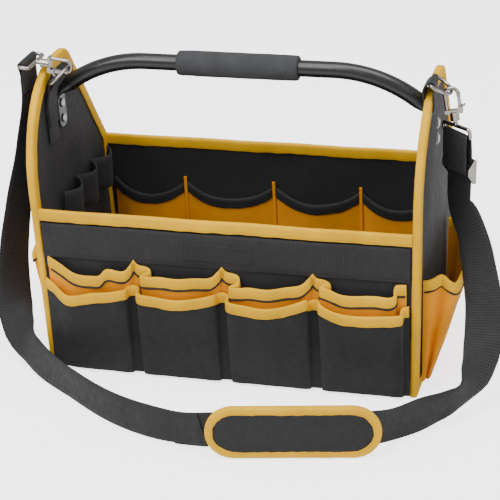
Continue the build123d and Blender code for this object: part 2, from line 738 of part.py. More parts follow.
with BuildPart() as strap_right_turn:
    turn_start = right_bar - right_bar_level * (WEBBING_WIDTH / 2)
    with BuildSketch(Plane(origin=turn_start, z_dir=right_bar_level)):
        Circle(TURN_OUTER)
        Circle(TURN_BORE, mode=Mode.SUBTRACT)
    extrude(amount=WEBBING_WIDTH)
pieces["strap_right_turn"] = strap_right_turn

# The strands below the right bar: their plane has X along the bar, Y up and Z to the front left.
strand_up = STRAND_DIR * -1
strand_plane = Plane(origin=right_bar, x_dir=right_bar_dir, z_dir=right_bar_dir.cross(strand_up))
STRAND_START = 19.0
STRAND_END = 66.0
LONG_STRAND_NEAR = -5.4
END_STRAND_NEAR = 1.6
SLIDER_DROP = 34.0
SLIDER_HALF = 11.0
SLIDER_WIRE = 1.5
CHEEK = 2.4


def strand(near, drop_from, drop_to):
    """A flat length of webbing below the right bar, near being its back face's offset."""
    with BuildPart() as length:
        with BuildSketch(strand_plane.offset(near)):
            with Locations((0, -(drop_from + drop_to) / 2)):
                Rectangle(WEBBING_WIDTH, drop_to - drop_from)
        extrude(amount=WEBBING)
    return length


def strand_section(along, forward, drop):
    """A plane across the slider's rods: X to the front left, Z along the rods."""
    origin = strand_plane.from_local_coords(Vector(along, -drop, forward))
    return Plane(origin=origin, x_dir=strand_plane.z_dir, z_dir=strand_plane.x_dir)


TURN_RADIUS = SLIDER_WIRE + 0.1
OUTER_BAR = LONG_STRAND_NEAR - SLIDER_WIRE - 0.2
CHEEK_FROM = WEBBING_WIDTH / 2 + 0.5
with BuildPart() as slider_frame:
    for forward, drop in (
        (0, SLIDER_DROP),
        (OUTER_BAR, SLIDER_DROP - SLIDER_HALF),
        (OUTER_BAR, SLIDER_DROP + SLIDER_HALF),
    ):
        with BuildSketch(strand_section(-CHEEK_FROM - 0.1, forward, drop)):
            Circle(SLIDER_WIRE)
        extrude(amount=2 * CHEEK_FROM + 0.2)
    for cheek_x in (-CHEEK_FROM - CHEEK, CHEEK_FROM):
        with BuildSketch(strand_section(cheek_x, 0, SLIDER_DROP)) as cheek:
            reach = OUTER_BAR - SLIDER_WIRE
            with BuildLine():
                Polyline(
                    (reach, -SLIDER_HALF - SLIDER_WIRE),
                    (reach + 3, -SLIDER_HALF - SLIDER_WIRE),
                    (SLIDER_WIRE, -3),
                    (SLIDER_WIRE, 3),
                    (reach + 3, SLIDER_HALF + SLIDER_WIRE),
                    (reach, SLIDER_HALF + SLIDER_WIRE),
                    close=True,
                )
            make_face()
            fillet(cheek.vertices(), 1.2)
        extrude(amount=CHEEK)
pieces["slider_frame"] = slider_frame

with BuildPart() as slider_turn:
    with BuildSketch(strand_section(-WEBBING_WIDTH / 2, 0, SLIDER_DROP)):
        Circle(TURN_RADIUS + WEBBING)
        Circle(TURN_RADIUS, mode=Mode.SUBTRACT)
    extrude(amount=WEBBING_WIDTH)
pieces["slider_turn"] = slider_turn

pieces["strap_end_strand"] = strand(END_STRAND_NEAR, STRAND_START, SLIDER_DROP - 4.5)

# The long run: stations of its centre and of the way its width points, from the left loop
# down to the floor, along it on edge to the pad, and on from the pad up to the right strand.
pad_dir = Vector(cos(radians(PAD_TURN)), sin(radians(PAD_TURN)), 0)
pad_front = Vector(sin(radians(PAD_TURN)), -cos(radians(PAD_TURN)), 0)
pad_centre = Vector(*PAD_CENTRE)
STRAIGHT_RUN = 68.0
UP = (0, 0, 1)
DOWN = (0, 0, -1)
left_top = Vector(left_bar.X, HOOK_Y, left_bar.Z - LEFT_TAIL - 0.3)
right_top = strand_plane.from_local_coords(
    Vector(0, -STRAND_END, LONG_STRAND_NEAR + WEBBING / 2)
)
right_width = right_bar_dir * -1
left_stations = (
    (tuple(left_top), (0, -1, 0)),
    ((-226, -49, 232), (-0.25, -0.97, 0)),
    ((-240, -53, 168), (-0.45, -0.89, 0)),
    ((-251, -57, 109), (-0.55, -0.83, 0)),
    ((-251, -69, 68), (-0.6, -0.75, -0.2)),
    ((-240, -93, 38), (-0.5, -0.55, -0.65)),
    ((-213, -124, 23), (-0.2, -0.15, -0.97)),
    ((-150, -178, 20.6), DOWN),
    ((-97, -214, 20.2), DOWN),
    ((-45, -236, 20.6), DOWN),
    ((0, -246, 23), (0, 0.1, -1)),
    (tuple(pad_centre - pad_dir * STRAIGHT_RUN), DOWN),
)
right_stations = (
    (tuple(pad_centre + pad_dir * STRAIGHT_RUN), UP),
    ((186, -208, 24), (0, -0.15, 1)),
    ((213, -177, 21), UP),
    ((235, -153, 21), (0, -0.3, 1)),
    ((251, -138, 27), (-0.3, -0.75, 0.6)),
    ((262, -121, 45), (-0.75, -0.6, 0.2)),
    ((265, -100, 74), (-0.98, -0.1, -0.05)),
    ((262, -84, 108), (-0.98, 0.15, -0.1)),
    ((254, -70, 143), (-0.93, 0.3, -0.15)),
    ((243, -58, 176), (-0.8, 0.5, -0.2)),
    (tuple(right_top), tuple(right_width)),
)


def webbing_edge(stations, sign, tangents):
    """One long edge of the webbing, a spline half a width to one side of its centre."""
    points = []
    for centre, width in stations:
        points.append(Vector(*centre) + Vector(*width).normalized() * (sign * WEBBING_WIDTH / 2))
    return Spline(points, tangents=tangents, mode=Mode.PRIVATE)


pad_start = pad_centre - pad_dir * STRAIGHT_RUN
with BuildPart() as strap_webbing:
    for stations, tangents in (
        (left_stations, [(0, 0, -1), tuple(pad_dir)]),
        (right_stations, [tuple(pad_dir), tuple(strand_up)]),
    ):
        low_edge = webbing_edge(stations, -1, tangents)
        high_edge = webbing_edge(stations, 1, tangents)
        sheet = Face.make_surface_from_curves(low_edge, high_edge)
        thicken(sheet, amount=WEBBING / 2, both=True)
    with BuildSketch(Plane(origin=pad_start, x_dir=pad_front, z_dir=pad_dir)):
        Rectangle(WEBBING, WEBBING_WIDTH)
    extrude(amount=2 * STRAIGHT_RUN)
    add(strand(LONG_STRAND_NEAR, STRAND_START, STRAND_END).part)
pieces["strap_webbing"] = strap_webbing

# ---- Shoulder pad -------------------------------------------------------------------
pad_plane = Plane(origin=pad_centre, x_dir=pad_dir, z_dir=pad_front)
PAD_NEAR = 2.4
LIP = 1.0
PAD_TAPE_WIDTH = 10.0

with BuildPart() as pad_body:
    with BuildSketch(pad_plane.offset(PAD_NEAR)):
        SlotOverall(PAD_LENGTH - 4, PAD_HEIGHT - 4)
    extrude(amount=PAD_THICK)
pieces["pad_body"] = pad_body

with BuildPart() as pad_binding:
    with BuildSketch(pad_plane.offset(PAD_NEAR - GAP - LIP)):
        SlotOverall(PAD_LENGTH, PAD_HEIGHT)
    extrude(amount=PAD_THICK + 2 * (GAP + LIP))
    with BuildSketch(pad_plane.offset(PAD_NEAR - GAP)):
        SlotOverall(PAD_LENGTH - 3.8, PAD_HEIGHT - 3.8)
    extrude(amount=PAD_THICK + 2 * GAP, mode=Mode.SUBTRACT)
    with BuildSketch(pad_plane):
        SlotOverall(PAD_LENGTH - 2 * PAD_TAPE_WIDTH, PAD_HEIGHT - 2 * PAD_TAPE_WIDTH)
    extrude(amount=PAD_THICK + 5, mode=Mode.SUBTRACT)
pieces["pad_binding"] = pad_binding

KEEPER_AT = 46.0
KEEPER_WIDTH = 22.0
KEEPER_HALF = WEBBING_WIDTH / 2 + 1.2
with BuildPart() as pad_keepers:
    keeper_near = -WEBBING / 2 - 0.6 - WEBBING
    keeper_far = PAD_NEAR - 2 * GAP - LIP
    with BuildSketch(pad_plane.offset(keeper_near)):
        with Locations((-KEEPER_AT, 0), (KEEPER_AT, 0)):
            Rectangle(KEEPER_WIDTH, 2 * (KEEPER_HALF + WEBBING))
    extrude(amount=keeper_far - keeper_near)
    with BuildSketch(pad_plane.offset(keeper_near + WEBBING)):
        Rectangle(PAD_LENGTH, 2 * KEEPER_HALF)
    extrude(amount=keeper_far - keeper_near, mode=Mode.SUBTRACT)
pieces["pad_keepers"] = pad_keepers

# ---- Write every piece --------------------------------------------------------------
os.makedirs("parts", exist_ok=True)
for name, piece in pieces.items():
    piece.part.label = name
    export_step(piece.part, f"parts/{name}.step")
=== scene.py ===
"""The looks of a garden tool bag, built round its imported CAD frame.

Lengths are in millimetres until a mesh is made. X runs to the right end, Y to the back and Z up.
Cloth pieces are closed shells made from two grids of points: an outer side and an inner side.
"""

import json
from bisect import bisect_left
from math import cos, pi, radians, sin, sqrt, tan

import bmesh
import bpy
import numpy as np
from mathutils import Matrix, Vector, noise


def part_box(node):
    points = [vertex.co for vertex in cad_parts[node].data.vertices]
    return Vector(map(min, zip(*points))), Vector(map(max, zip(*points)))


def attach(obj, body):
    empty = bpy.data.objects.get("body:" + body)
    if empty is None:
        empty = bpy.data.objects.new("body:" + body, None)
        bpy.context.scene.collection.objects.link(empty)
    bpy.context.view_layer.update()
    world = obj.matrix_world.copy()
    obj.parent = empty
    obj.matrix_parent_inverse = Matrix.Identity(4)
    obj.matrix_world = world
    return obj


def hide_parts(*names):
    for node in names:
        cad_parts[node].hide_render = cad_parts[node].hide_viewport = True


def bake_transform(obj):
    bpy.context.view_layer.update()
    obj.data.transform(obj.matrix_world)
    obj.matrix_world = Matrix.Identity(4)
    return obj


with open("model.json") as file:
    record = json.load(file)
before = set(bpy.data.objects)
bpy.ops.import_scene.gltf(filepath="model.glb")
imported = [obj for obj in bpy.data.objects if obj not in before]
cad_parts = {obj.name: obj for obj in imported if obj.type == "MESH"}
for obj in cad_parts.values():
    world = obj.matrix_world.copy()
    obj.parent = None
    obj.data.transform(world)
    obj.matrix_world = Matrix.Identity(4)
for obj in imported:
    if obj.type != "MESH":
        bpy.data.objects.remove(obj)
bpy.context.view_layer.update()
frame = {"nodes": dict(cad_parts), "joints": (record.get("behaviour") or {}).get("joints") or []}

MM = 0.001
UP, DOWN = Vector((0, 0, 1)), Vector((0, 0, -1))
FRONT = Vector((0, -1, 0))
joints = {joint["name"]: joint for joint in frame["joints"]}


# ---- Sizes taken from the frame ----
def corners(node):
    """The lowest and highest corner of a CAD node in millimetres."""
    lowest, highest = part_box(node)
    return lowest / MM, highest / MM


def joint_place(name):
    """Where a joint turns, in millimetres."""
    return Vector(joints[name]["pos_m"]) / MM


wall_low, wall_high = corners("right_end_binding")
panel_low, panel_high = corners("back_panel")
END_LEAN = radians(1.3)
WALL_THICK = 7.3
WALL_X = wall_low.x
HALF_DEPTH = wall_high.y
APEX = wall_high.z
RIM_TOP = corners("front_rim_binding")[1].z
PANEL_TOP = panel_high.z
PANEL_OUT, PANEL_IN = panel_high.y, panel_low.y
TAPE_WIDTH = 12.0
WEBBING = 1.8
WEBBING_WIDTH = 38.0
GABLE_FRONT = 200.0
GABLE_RIDGE = -12.0
GABLE_BROW = 8.0
BROW_RADIUS = 22.0
BACK_SLOPE = radians(56.0)
RIM_AT_BACK = 181.0
PLATE_Y, PLATE_Z = -14.0, 256.0
HOOK_Y = joint_place("left_ring_hinge").y


def wall_x(z):
    """X of the right end wall's inner face."""
    return WALL_X + z * tan(END_LEAN)


def clamp(value, lowest=0.0, highest=1.0):
    return max(lowest, min(highest, value))


def wall_bow(y, z):
    """How far the cloth of an end wall bellies outwards."""
    return 2.6 * sin(pi * clamp(z / 228)) * cos(pi * clamp(y / HALF_DEPTH, -1, 1) / 2)


def panel_bow(x, z):
    """How far the front and back panels belly outwards."""
    return 2.0 * sin(pi * clamp(z / PANEL_TOP)) * cos(pi * clamp(x / WALL_X, -1, 1) / 2)


def ripple(x, y, z, size, height):
    """Smooth unevenness of hand-sewn cloth."""
    return height * noise.noise(Vector((x / size, y / size, z / size)))


# ---- Materials ----
class Shader:
    """A short way to join nodes in one material."""

    def __init__(self, name):
        self.material = bpy.data.materials.new(name)
        self.material.use_nodes = True
        self.tree = self.material.node_tree
        self.surface = self.tree.nodes["Principled BSDF"]

    def node(self, kind, **settings):
        made = self.tree.nodes.new(kind)
        for key, value in settings.items():
            setattr(made, key, value)
        return made

    def put(self, value, socket):
        if isinstance(value, bpy.types.NodeSocket):
            self.tree.links.new(value, socket)
        else:
            socket.default_value = value

    def math(self, operation, first, second=0.0, third=0.0):
        made = self.node("ShaderNodeMath", operation=operation)
        for value, socket in zip((first, second, third), made.inputs):
            self.put(value, socket)
        return made.outputs[0]

    def place(self):
        return self.node("ShaderNodeTexCoord").outputs["Object"]

    def noise(self, scale, detail=3.0, vector=None):
        made = self.node("ShaderNodeTexNoise")
        self.put(vector or self.place(), made.inputs["Vector"])
        self.put(scale, made.inputs["Scale"])
        self.put(detail, made.inputs["Detail"])
        return made.outputs[0]

    def spread(self, value, lowest, highest, from_low=0.3, from_high=0.7):
        """Maps from_low...from_high to lowest...highest."""
        made = self.node("ShaderNodeMapRange")
        for number, socket in zip((value, from_low, from_high, lowest, highest), made.inputs):
            self.put(number, socket)
        return made.outputs[0]

    def mix(self, share, first, second):
        made = self.node("ShaderNodeMix", data_type="RGBA")
        for value, index in ((share, 0), (first, 6), (second, 7)):
            self.put(value, made.inputs[index])
        return made.outputs[2]

    def bump(self, height, distance, strength):
        made = self.node("ShaderNodeBump")
        self.put(height, made.inputs["Height"])
        self.put(distance * MM, made.inputs["Distance"])
        self.put(strength, made.inputs["Strength"])
        self.put(made.outputs[0], self.surface.inputs["Normal"])

    def set(self, **values):
        for key, value in values.items():
            self.put(value, self.surface.inputs[key.replace("_", " ")])
        return self.material


def rgb(red, green, blue):
    return (red, green, blue, 1.0)


def scaled(colour, factor):
    return rgb(*[min(1.0, part * factor) for part in colour[:3]])


def cloth_material(name, colour, pitches, relief, rough, shine=0.0, wear=0.35, ribs=0.5):
    """Woven cloth or tape. The threads follow each piece's own length and width.

    pitches are thread spacings along and across; ribs runs from 0, plain weave, to 1, ribbed webbing.
    """
    shade = Shader(name)
    split = shade.node("ShaderNodeSeparateXYZ")
    shade.put(shade.node("ShaderNodeUVMap", uv_map="cloth").outputs[0], split.inputs[0])
    waves = [
        shade.math("SINE", shade.math("MULTIPLY", split.outputs[axis], 2 * pi / (pitch * MM)))
        for axis, pitch in enumerate(pitches)
    ]
    weave = shade.math("MULTIPLY_ADD", shade.math("MULTIPLY", *waves), 0.5, 0.5)
    half_wave = shade.math("MULTIPLY", split.outputs[0], pi / (pitches[0] * MM))
    rib = shade.math("ABSOLUTE", shade.math("SINE", half_wave))
    threads = shade.math("ADD", shade.math("MULTIPLY", weave, 1 - ribs), shade.math("MULTIPLY", rib, ribs))
    height = shade.math("ADD", threads, shade.math("MULTIPLY", shade.noise(900.0, 4.0), 0.35))
    patch = shade.spread(shade.noise(22.0, 5.0), 0.0, 1.0)
    toned = shade.mix(patch, scaled(colour, 0.86), scaled(colour, 1.12))
    # Painted shade: the grooves between threads are darkened towards 0.3 of the colour, most on ribbed
    # webbing.
    gaps = shade.spread(threads, 0.75 * ribs + 0.1, 0.0, 0.0, 0.8)
    shaded_weave = shade.mix(gaps, toned, scaled(colour, 0.3))
    worn = shade.spread(shade.noise(60.0, 6.0), 0.0, wear, 0.62, 0.8)
    dusted = shade.mix(worn, shaded_weave, scaled(colour, 1.45))
    shade.bump(height, relief, 0.55)
    roughness = shade.spread(shade.noise(140.0), rough - 0.08, rough + 0.1)
    shade.set(Sheen_Weight=shine, Specular_IOR_Level=0.28)
    return shade.set(Base_Color=dusted, Roughness=roughness)


def metal_material(name, colour, rough, scratch):
    """Plated or bare metal with fine handling marks."""
    shade = Shader(name)
    stretch = shade.node("ShaderNodeMapping")
    stretch.inputs["Scale"].default_value = (1.0, 0.2, 1.0)
    shade.put(shade.place(), stretch.inputs[0])
    marks = shade.noise(1500.0, 5.0, stretch.outputs[0])
    cloudy = shade.noise(120.0, 4.0)
    toned = shade.mix(shade.spread(cloudy, 0.0, 1.0), scaled(colour, 0.8), colour)
    shade.bump(marks, 0.04, scratch)
    roughness = shade.spread(cloudy, rough * 0.7, rough * 1.5)
    return shade.set(Base_Color=toned, Metallic=1.0, Roughness=roughness)


def paint_material():
    """Gloss black paint on a steel tube, with a little orange peel and rubbed patches."""
    shade = Shader("gloss_paint")
    peel = shade.noise(350.0, 2.0)
    rubbed = shade.spread(shade.noise(45.0, 6.0), 0.0, 0.5, 0.6, 0.78)
    colour = shade.mix(rubbed, rgb(0.009, 0.009, 0.010), rgb(0.035, 0.035, 0.037))
    shade.bump(peel, 0.05, 0.12)
    roughness = shade.spread(shade.noise(90.0, 5.0), 0.22, 0.34)
    return shade.set(Base_Color=colour, Roughness=roughness, Coat_Weight=0.12, Coat_Roughness=0.15)


def foam_material():
    """Closed-cell foam: fine pores, softly mottled."""
    shade = Shader("grip_foam")
    pores = shade.node("ShaderNodeTexVoronoi")
    shade.put(shade.place(), pores.inputs["Vector"])
    pores.inputs["Scale"].default_value = 1100.0
    mottle = shade.spread(shade.noise(70.0, 5.0), 0.0, 1.0)
    colour = shade.mix(mottle, rgb(0.026, 0.027, 0.029), rgb(0.045, 0.046, 0.050))
    shade.bump(shade.math("ADD", pores.outputs[0], shade.noise(260.0, 4.0)), 0.22, 0.5)
    return shade.set(Base_Color=colour, Roughness=shade.spread(mottle, 0.82, 0.95, 0.0, 1.0))


BLACK = rgb(0.021, 0.0205, 0.022)
YELLOW = rgb(0.82, 0.44, 0.0)
AMBER = rgb(0.84, 0.31, 0.0)
CLOTH_PITCH, TAPE_PITCH, THREAD_PITCH = (1.1, 1.1), (1.5, 2.6), (0.5, 0.5)
black_cloth = cloth_material("black_polyester", BLACK, CLOTH_PITCH, 0.10, 0.74, 0.06)
yellow_cloth = cloth_material("yellow_polyester", AMBER, CLOTH_PITCH, 0.10, 0.72, 0.0, 0.1, 0.25)
yellow_tape = cloth_material("yellow_tape", YELLOW, TAPE_PITCH, 0.14, 0.68, 0.0, 0.1, 0.25)
black_tape = cloth_material("black_tape", scaled(BLACK, 0.8), TAPE_PITCH, 0.14, 0.7, 0.05)
webbing = cloth_material("black_webbing", scaled(BLACK, 1.15), (2.7, 3.4), 0.4, 0.66, 0.05, 0.3, 0.9)
label_cloth = cloth_material("label_cloth", scaled(BLACK, 0.9), (0.8, 0.8), 0.06, 0.55)
yellow_thread = cloth_material("yellow_thread", scaled(YELLOW, 0.85), THREAD_PITCH, 0.05, 0.6, 0.0, 0.1)
black_thread = cloth_material("black_thread", scaled(BLACK, 1.9), THREAD_PITCH, 0.05, 0.5)
nickel = metal_material("nickel_plate", rgb(0.42, 0.39, 0.36), 0.18, 0.12)
rivet_steel = metal_material("rivet_steel", rgb(0.55, 0.54, 0.53), 0.34, 0.2)
spring_steel = metal_material("spring_steel", rgb(0.30, 0.30, 0.31), 0.3, 0.3)
gloss_paint = paint_material()
grip_foam = foam_material()


# ---- Mesh building ----
def add_object(name, data):
    made = bpy.data.objects.new(name, data)
    bpy.context.scene.collection.objects.link(made)
    return made


def finish_mesh(name, verts, faces, loops, material, sharp, body):
    """A mesh object from points in millimetres, with outward faces and smooth shading."""
    mesh = bpy.data.meshes.new(name)
    mesh.from_pydata([Vector(v) * MM for v in verts], [], faces)
    layer = mesh.uv_layers.new(name="cloth")
    layer.data.foreach_set("uv", [value * MM for pair in loops for value in pair])
    edit = bmesh.new()
    edit.from_mesh(mesh)
    bmesh.ops.recalc_face_normals(edit, faces=edit.faces)
    edit.to_mesh(mesh)
    edit.free()
    mesh.polygons.foreach_set("use_smooth", [True] * len(mesh.polygons))
    mesh.set_sharp_from_angle(angle=radians(sharp))
    mesh.materials.append(material)
    made = add_object(name, mesh)
    if body:
        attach(made, body)
    return made


def steps(first, last, count):
    """Evenly spaced numbers from first to last."""
    return [first + (last - first) * k / count for k in range(count + 1)]


def grids(rows, columns, place):
    """A shell's outer and inner grid. place(row, column) gives the points on both sides."""
    pairs = [[place(row, column) for column in columns] for row in rows]
    return [[[pair[side] for pair in line] for line in pairs] for side in (0, 1)]


def running_length(points):
    total = [0.0]
    for a, b in zip(points, points[1:]):
        total.append(total[-1] + (b - a).length)
    return total


def locate(reach, distance):
    """Which span of a path a distance falls in, and at what share of that span."""
    spot = bisect_left(reach, distance, 1) - 1
    return spot, (distance - reach[spot]) / (reach[spot + 1] - reach[spot])


def shell(name, outer, inner, material, nodes=(), body="bag", closed=False, sharp=50.0):
    """A closed shell between two grids with rows along the piece. closed joins the last row to the first."""
    rows, columns = len(outer), len(outer[0])
    ring = 2 * columns
    verts, across = [], []
    for out_row, in_row in zip(outer, inner):
        loop = [Vector(p) for p in out_row] + [Vector(p) for p in reversed(in_row)]
        verts += loop
        across.append(running_length(loop + loop[:1]))
    along = running_length([Vector(row[columns // 2]) for row in outer + (outer[:1] if closed else [])])
    faces, loops = [], []
    for i in range(rows if closed else rows - 1):
        after = (i + 1) % rows
        for j in range(ring):
            beside = (j + 1) % ring
            faces.append((i * ring + j, i * ring + beside, after * ring + beside, after * ring + j))
            loops += [(along[i], across[i][j]), (along[i], across[i][j + 1])]
            loops += [(along[i + 1], across[after][j + 1]), (along[i + 1], across[after][j])]
    if not closed:
        for i in (0, rows - 1):
            for j in range(columns - 1):
                faces.append([i * ring + k for k in (j, j + 1, ring - 2 - j, ring - 1 - j)])
                loops += [(0, across[i][j]), (0, across[i][j + 1]), (2, across[i][j + 1]), (2, across[i][j])]
    made = finish_mesh(name, verts, faces, loops, material, sharp, body)
    if nodes:
        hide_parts(*nodes)
    return made


def smooth_path(points, per_span, start=None, end=None):
    """A curve through points. per_span is a count if whole, else a step; start and end are directions."""
    knots = np.array([tuple(p) for p in points], float)
    gaps = np.linalg.norm(np.diff(knots, axis=0), axis=1)
    count = len(knots)
    system = np.zeros((count, count))
    known = np.zeros((count, 3))
    for k in range(1, count - 1):
        system[k, k - 1 : k + 2] = gaps[k], 2 * (gaps[k - 1] + gaps[k]), gaps[k - 1]
        before, after = (knots[k] - knots[k - 1]) / gaps[k - 1], (knots[k + 1] - knots[k]) / gaps[k]
        known[k] = 3 * (gaps[k] * before + gaps[k - 1] * after)
    for row, other, gap, given in ((0, 1, gaps[0], start), (count - 1, count - 2, gaps[-1], end)):
        if given is None:
            system[row, row], system[row, other] = 2, 1
            known[row] = 3 * (knots[max(row, other)] - knots[min(row, other)]) / gap
        else:
            system[row, row] = 1
            known[row] = np.array(given) / np.linalg.norm(given)
    slopes = np.linalg.solve(system, known)
    curve = []
    for k, gap in enumerate(gaps):
        parts = per_span if isinstance(per_span, int) else max(2, int(gap / per_span))
        for s in steps(0, 1, parts)[:-1]:
            a, b = 2 * s**3 - 3 * s**2 + 1, s**3 - 2 * s**2 + s
            c, d = 3 * s**2 - 2 * s**3, s**3 - s**2
            place = a * knots[k] + c * knots[k + 1] + gap * (b * slopes[k] + d * slopes[k + 1])
            curve.append(Vector(place))
    curve.append(Vector(knots[-1]))
    return curve


def tangents(points):
    last = len(points) - 1
    return [(points[min(i + 1, last)] - points[max(i - 1, 0)]).normalized() for i in range(last + 1)]


def plan_normals(path):
    """Horizontal normals on the right-hand side of a path."""
    return [Vector((along.y, -along.x, 0)).normalized() for along in tangents(path)]


# Half of a ribbon's section: share of its half width, share of its half thickness.
RIBBON_LEFT = [(-1, 0.3), (-0.975, 0.85), (-0.6, 1), (-0.2, 1.06)]
RIBBON_SIDE = RIBBON_LEFT + [(-s, t) for s, t in RIBBON_LEFT[::-1]]


def ribbon(name, centres, widths, nodes=(), body="bag", width=WEBBING_WIDTH, thick=WEBBING, material=webbing):
    """A flat strip of webbing. widths point across it; one vector stands for all."""
    if isinstance(widths, Vector):
        widths = [widths] * len(centres)
    outer, inner = [], []
    for centre, along, across in zip(centres, tangents(centres), widths):
        side = (across - along * across.dot(along)).normalized()
        face = side.cross(along)
        for grid, half in ((outer, thick / 2), (inner, -thick / 2)):
            grid.append([centre + side * (s * width / 2) + face * (t * half) for s, t in RIBBON_SIDE])
    return shell(name, outer, inner, material, nodes, body)


class Stitches:
    """Rows of thread, gathered in one mesh for each colour and body."""

    def __init__(self):
        self.sets = {}

    def row(self, colour, points, outs, body="bag", pitch=3.4, length=2.3, radius=0.34):
        """Threads along points; outs point away from the cloth, one vector or one for each point."""
        if isinstance(outs, Vector):
            outs = [outs] * len(points)
        verts, faces, loops = self.sets.setdefault((colour, body), ([], [], []))
        reach = running_length(points)
        for n in range(int(reach[-1] / pitch)):
            spot, share = locate(reach, (n + 0.5) * pitch)
            centre = points[spot].lerp(points[spot + 1], share)
            along = (points[spot + 1] - points[spot]).normalized()
            out = outs[spot].lerp(outs[spot + 1], share)
            out = (out - along * out.dot(along)).normalized()
            side = along.cross(out)
            base = len(verts)
            verts.append(centre - along * length / 2)
            for step in (-0.28, 0.28):
                for a, b in ((1, 0), (0, 1), (-1, 0), (0, -1)):
                    verts.append(centre + along * step * length + side * a * radius * 1.25 + out * b * radius)
            verts.append(centre + along * length / 2)
            for k in range(4):
                nxt = (k + 1) % 4
                faces.append((base, base + 1 + k, base + 1 + nxt))
                faces.append((base + 1 + k, base + 5 + k, base + 5 + nxt, base + 1 + nxt))
                faces.append((base + 9, base + 5 + nxt, base + 5 + k))
                loops.extend([(0, 0), (0.2, 0.2), (0.2, 0.4)])
                loops.extend([(0.2, 0.2), (1.4, 0.2), (1.4, 0.4), (0.2, 0.4)])
                loops.extend([(2, 0), (1.4, 0.4), (1.4, 0.2)])

    def make(self):
        for (colour, body), (verts, faces, loops) in self.sets.items():
            material = yellow_thread if colour == "yellow" else black_thread
            finish_mesh(f"{colour}_stitches_{body}", verts, faces, loops, material, 80.0, body)


stitches = Stitches()
SEAM = {"pitch": 2.6, "length": 1.9}

# Section of a tape folded over an edge: distance in from the edge, distance out from the cloth's face.
BINDING_OUT = ((12, 0.0), (9, 0.35), (6, 0.4), (3, 0.35), (1.3, 0.1), (0.3, -0.9), (0, -2.2))
BINDING_IN = ((12, 1.15), (9, 0.85), (6, 0.8), (3, 0.85), (2.0, 1.1), (1.5, 1.6), (1.25, 2.4))


def folded_tape(
    name, spots, place, out, thick, node, body="bag", closed=False, seam=(9.6, 0.4, 1), ease=None
):
    """Tape sewn over an edge. spots are (position, wobble of its loose edge, lift off the cloth).

    place(position, inward, through) gives a point. seam is the stitches' depth, gap and share of the lift.
    ease(depth) scales the lift; a tape with ease has rows of stitches that close on themselves.
    """
    outer, inner, rows = [], [], ([], [])
    depth, gap, share = seam
    for spot, wobble, lift in spots:
        for profile, sign, grid in ((BINDING_OUT, 1, outer), (BINDING_IN, -1, inner)):
            section = [(d, thick + sign * t) for d, t in profile] + [(d, -sign * t) for d, t in profile[::-1]]
            section = [(d + (wobble if d > 11 else 0), t) for d, t in section]
            lifts = [(lift if t > thick / 2 else -lift) * (ease(d) if ease else 1) for d, t in section]
            grid.append([place(spot, d, t + away) for (d, t), away in zip(section, lifts)])
        rows[0].append(place(spot, depth, thick + gap + share * lift))
        rows[1].append(place(spot, depth, -gap - share * lift))
    shell(name, outer, inner, yellow_tape, (node,), body, closed)
    for row, facing in zip(rows, (out, -out)):
        stitches.row("yellow", row + row[:1] if ease else row, facing, body)


# ---- End walls ----
def gable_span(z, inset):
    """The front and back Y of an end wall at a height."""
    front, back, crown = inset - HALF_DEPTH, HALF_DEPTH - inset, APEX - inset
    if z > GABLE_FRONT:
        rise = clamp((z - GABLE_FRONT) / (crown - GABLE_FRONT))
        front = GABLE_RIDGE - (GABLE_RIDGE - front) * sqrt(1 - rise * rise)
    radius = BROW_RADIUS - inset
    slope_y = GABLE_BROW + radius * sin(BACK_SLOPE)
    slope_z = APEX - BROW_RADIUS + radius * cos(BACK_SLOPE)
    if z > slope_z:
        lift = clamp((z - (APEX - BROW_RADIUS)) / radius)
        back = GABLE_BROW + radius * sqrt(1 - lift * lift)
    else:
        back = min(back, slope_y + (slope_z - z) / tan(BACK_SLOPE))
    return front, back


def wall_relief(side, y, z):
    """Unevenness of the wall's cloth, none near the handle's plate or the edges."""
    front, back = gable_span(z, 0)
    edge = clamp(min(y - front, back - y, z, APEX - z) / 30 - 0.3)
    plate = clamp((sqrt((y - PLATE_Y) ** 2 + (z - PLATE_Z) ** 2) - 24) / 30)
    tab = clamp((abs(y - HOOK_Y) - 13) / 12) if z > 225 else 1.0
    folds = ripple(side * 40, y * 1.2, z * 0.6, 52, 1.5) + ripple(side * 9, y, z, 80, 1.8)
    return edge * plate * tab * folds


def end_wall(side, label):
    """Cloth over a stiffening board, filling the gable's outline."""
    levels = steps(1.4, 196.4, 30)
    levels += [GABLE_FRONT + (APEX - 1.5 - GABLE_FRONT) * sin(pi / 2 * k / 26) for k in range(1, 27)]

    def place(z, share):
        front, back = gable_span(min(z, APEX - 1.6), 1.4)
        y = front + (back - front) * share
        x = wall_x(z) + wall_bow(y, z) + wall_relief(side, y, z)
        return (side * (x + 6.0), y, z), (side * (x + 1.35), y, z)

    nodes = (f"{label}_end_panel", f"{label}_end_board")
    shell(f"{label}_end_wall", *grids(levels, steps(0, 1, 36), place), black_cloth, nodes)


def gable_runs():
    """The end wall's outline as runs of (Y, Z) between its sharp corners."""
    depth, height = HALF_DEPTH + GABLE_RIDGE, APEX - GABLE_FRONT
    arc = steps(pi, pi / 2, 30)[1:]
    front_top = [(GABLE_RIDGE + depth * cos(a), GABLE_FRONT + height * sin(a)) for a in arc]
    turn = steps(0, BACK_SLOPE, 8)
    brow = [(GABLE_BROW + BROW_RADIUS * sin(a), APEX - BROW_RADIUS * (1 - cos(a))) for a in turn]
    return [
        [(-HALF_DEPTH, 0), (-HALF_DEPTH, GABLE_FRONT)] + front_top + brow + [(HALF_DEPTH, RIM_AT_BACK)],
        [(HALF_DEPTH, RIM_AT_BACK), (HALF_DEPTH, 0)],
        [(HALF_DEPTH, 0), (-HALF_DEPTH, 0)],
    ]


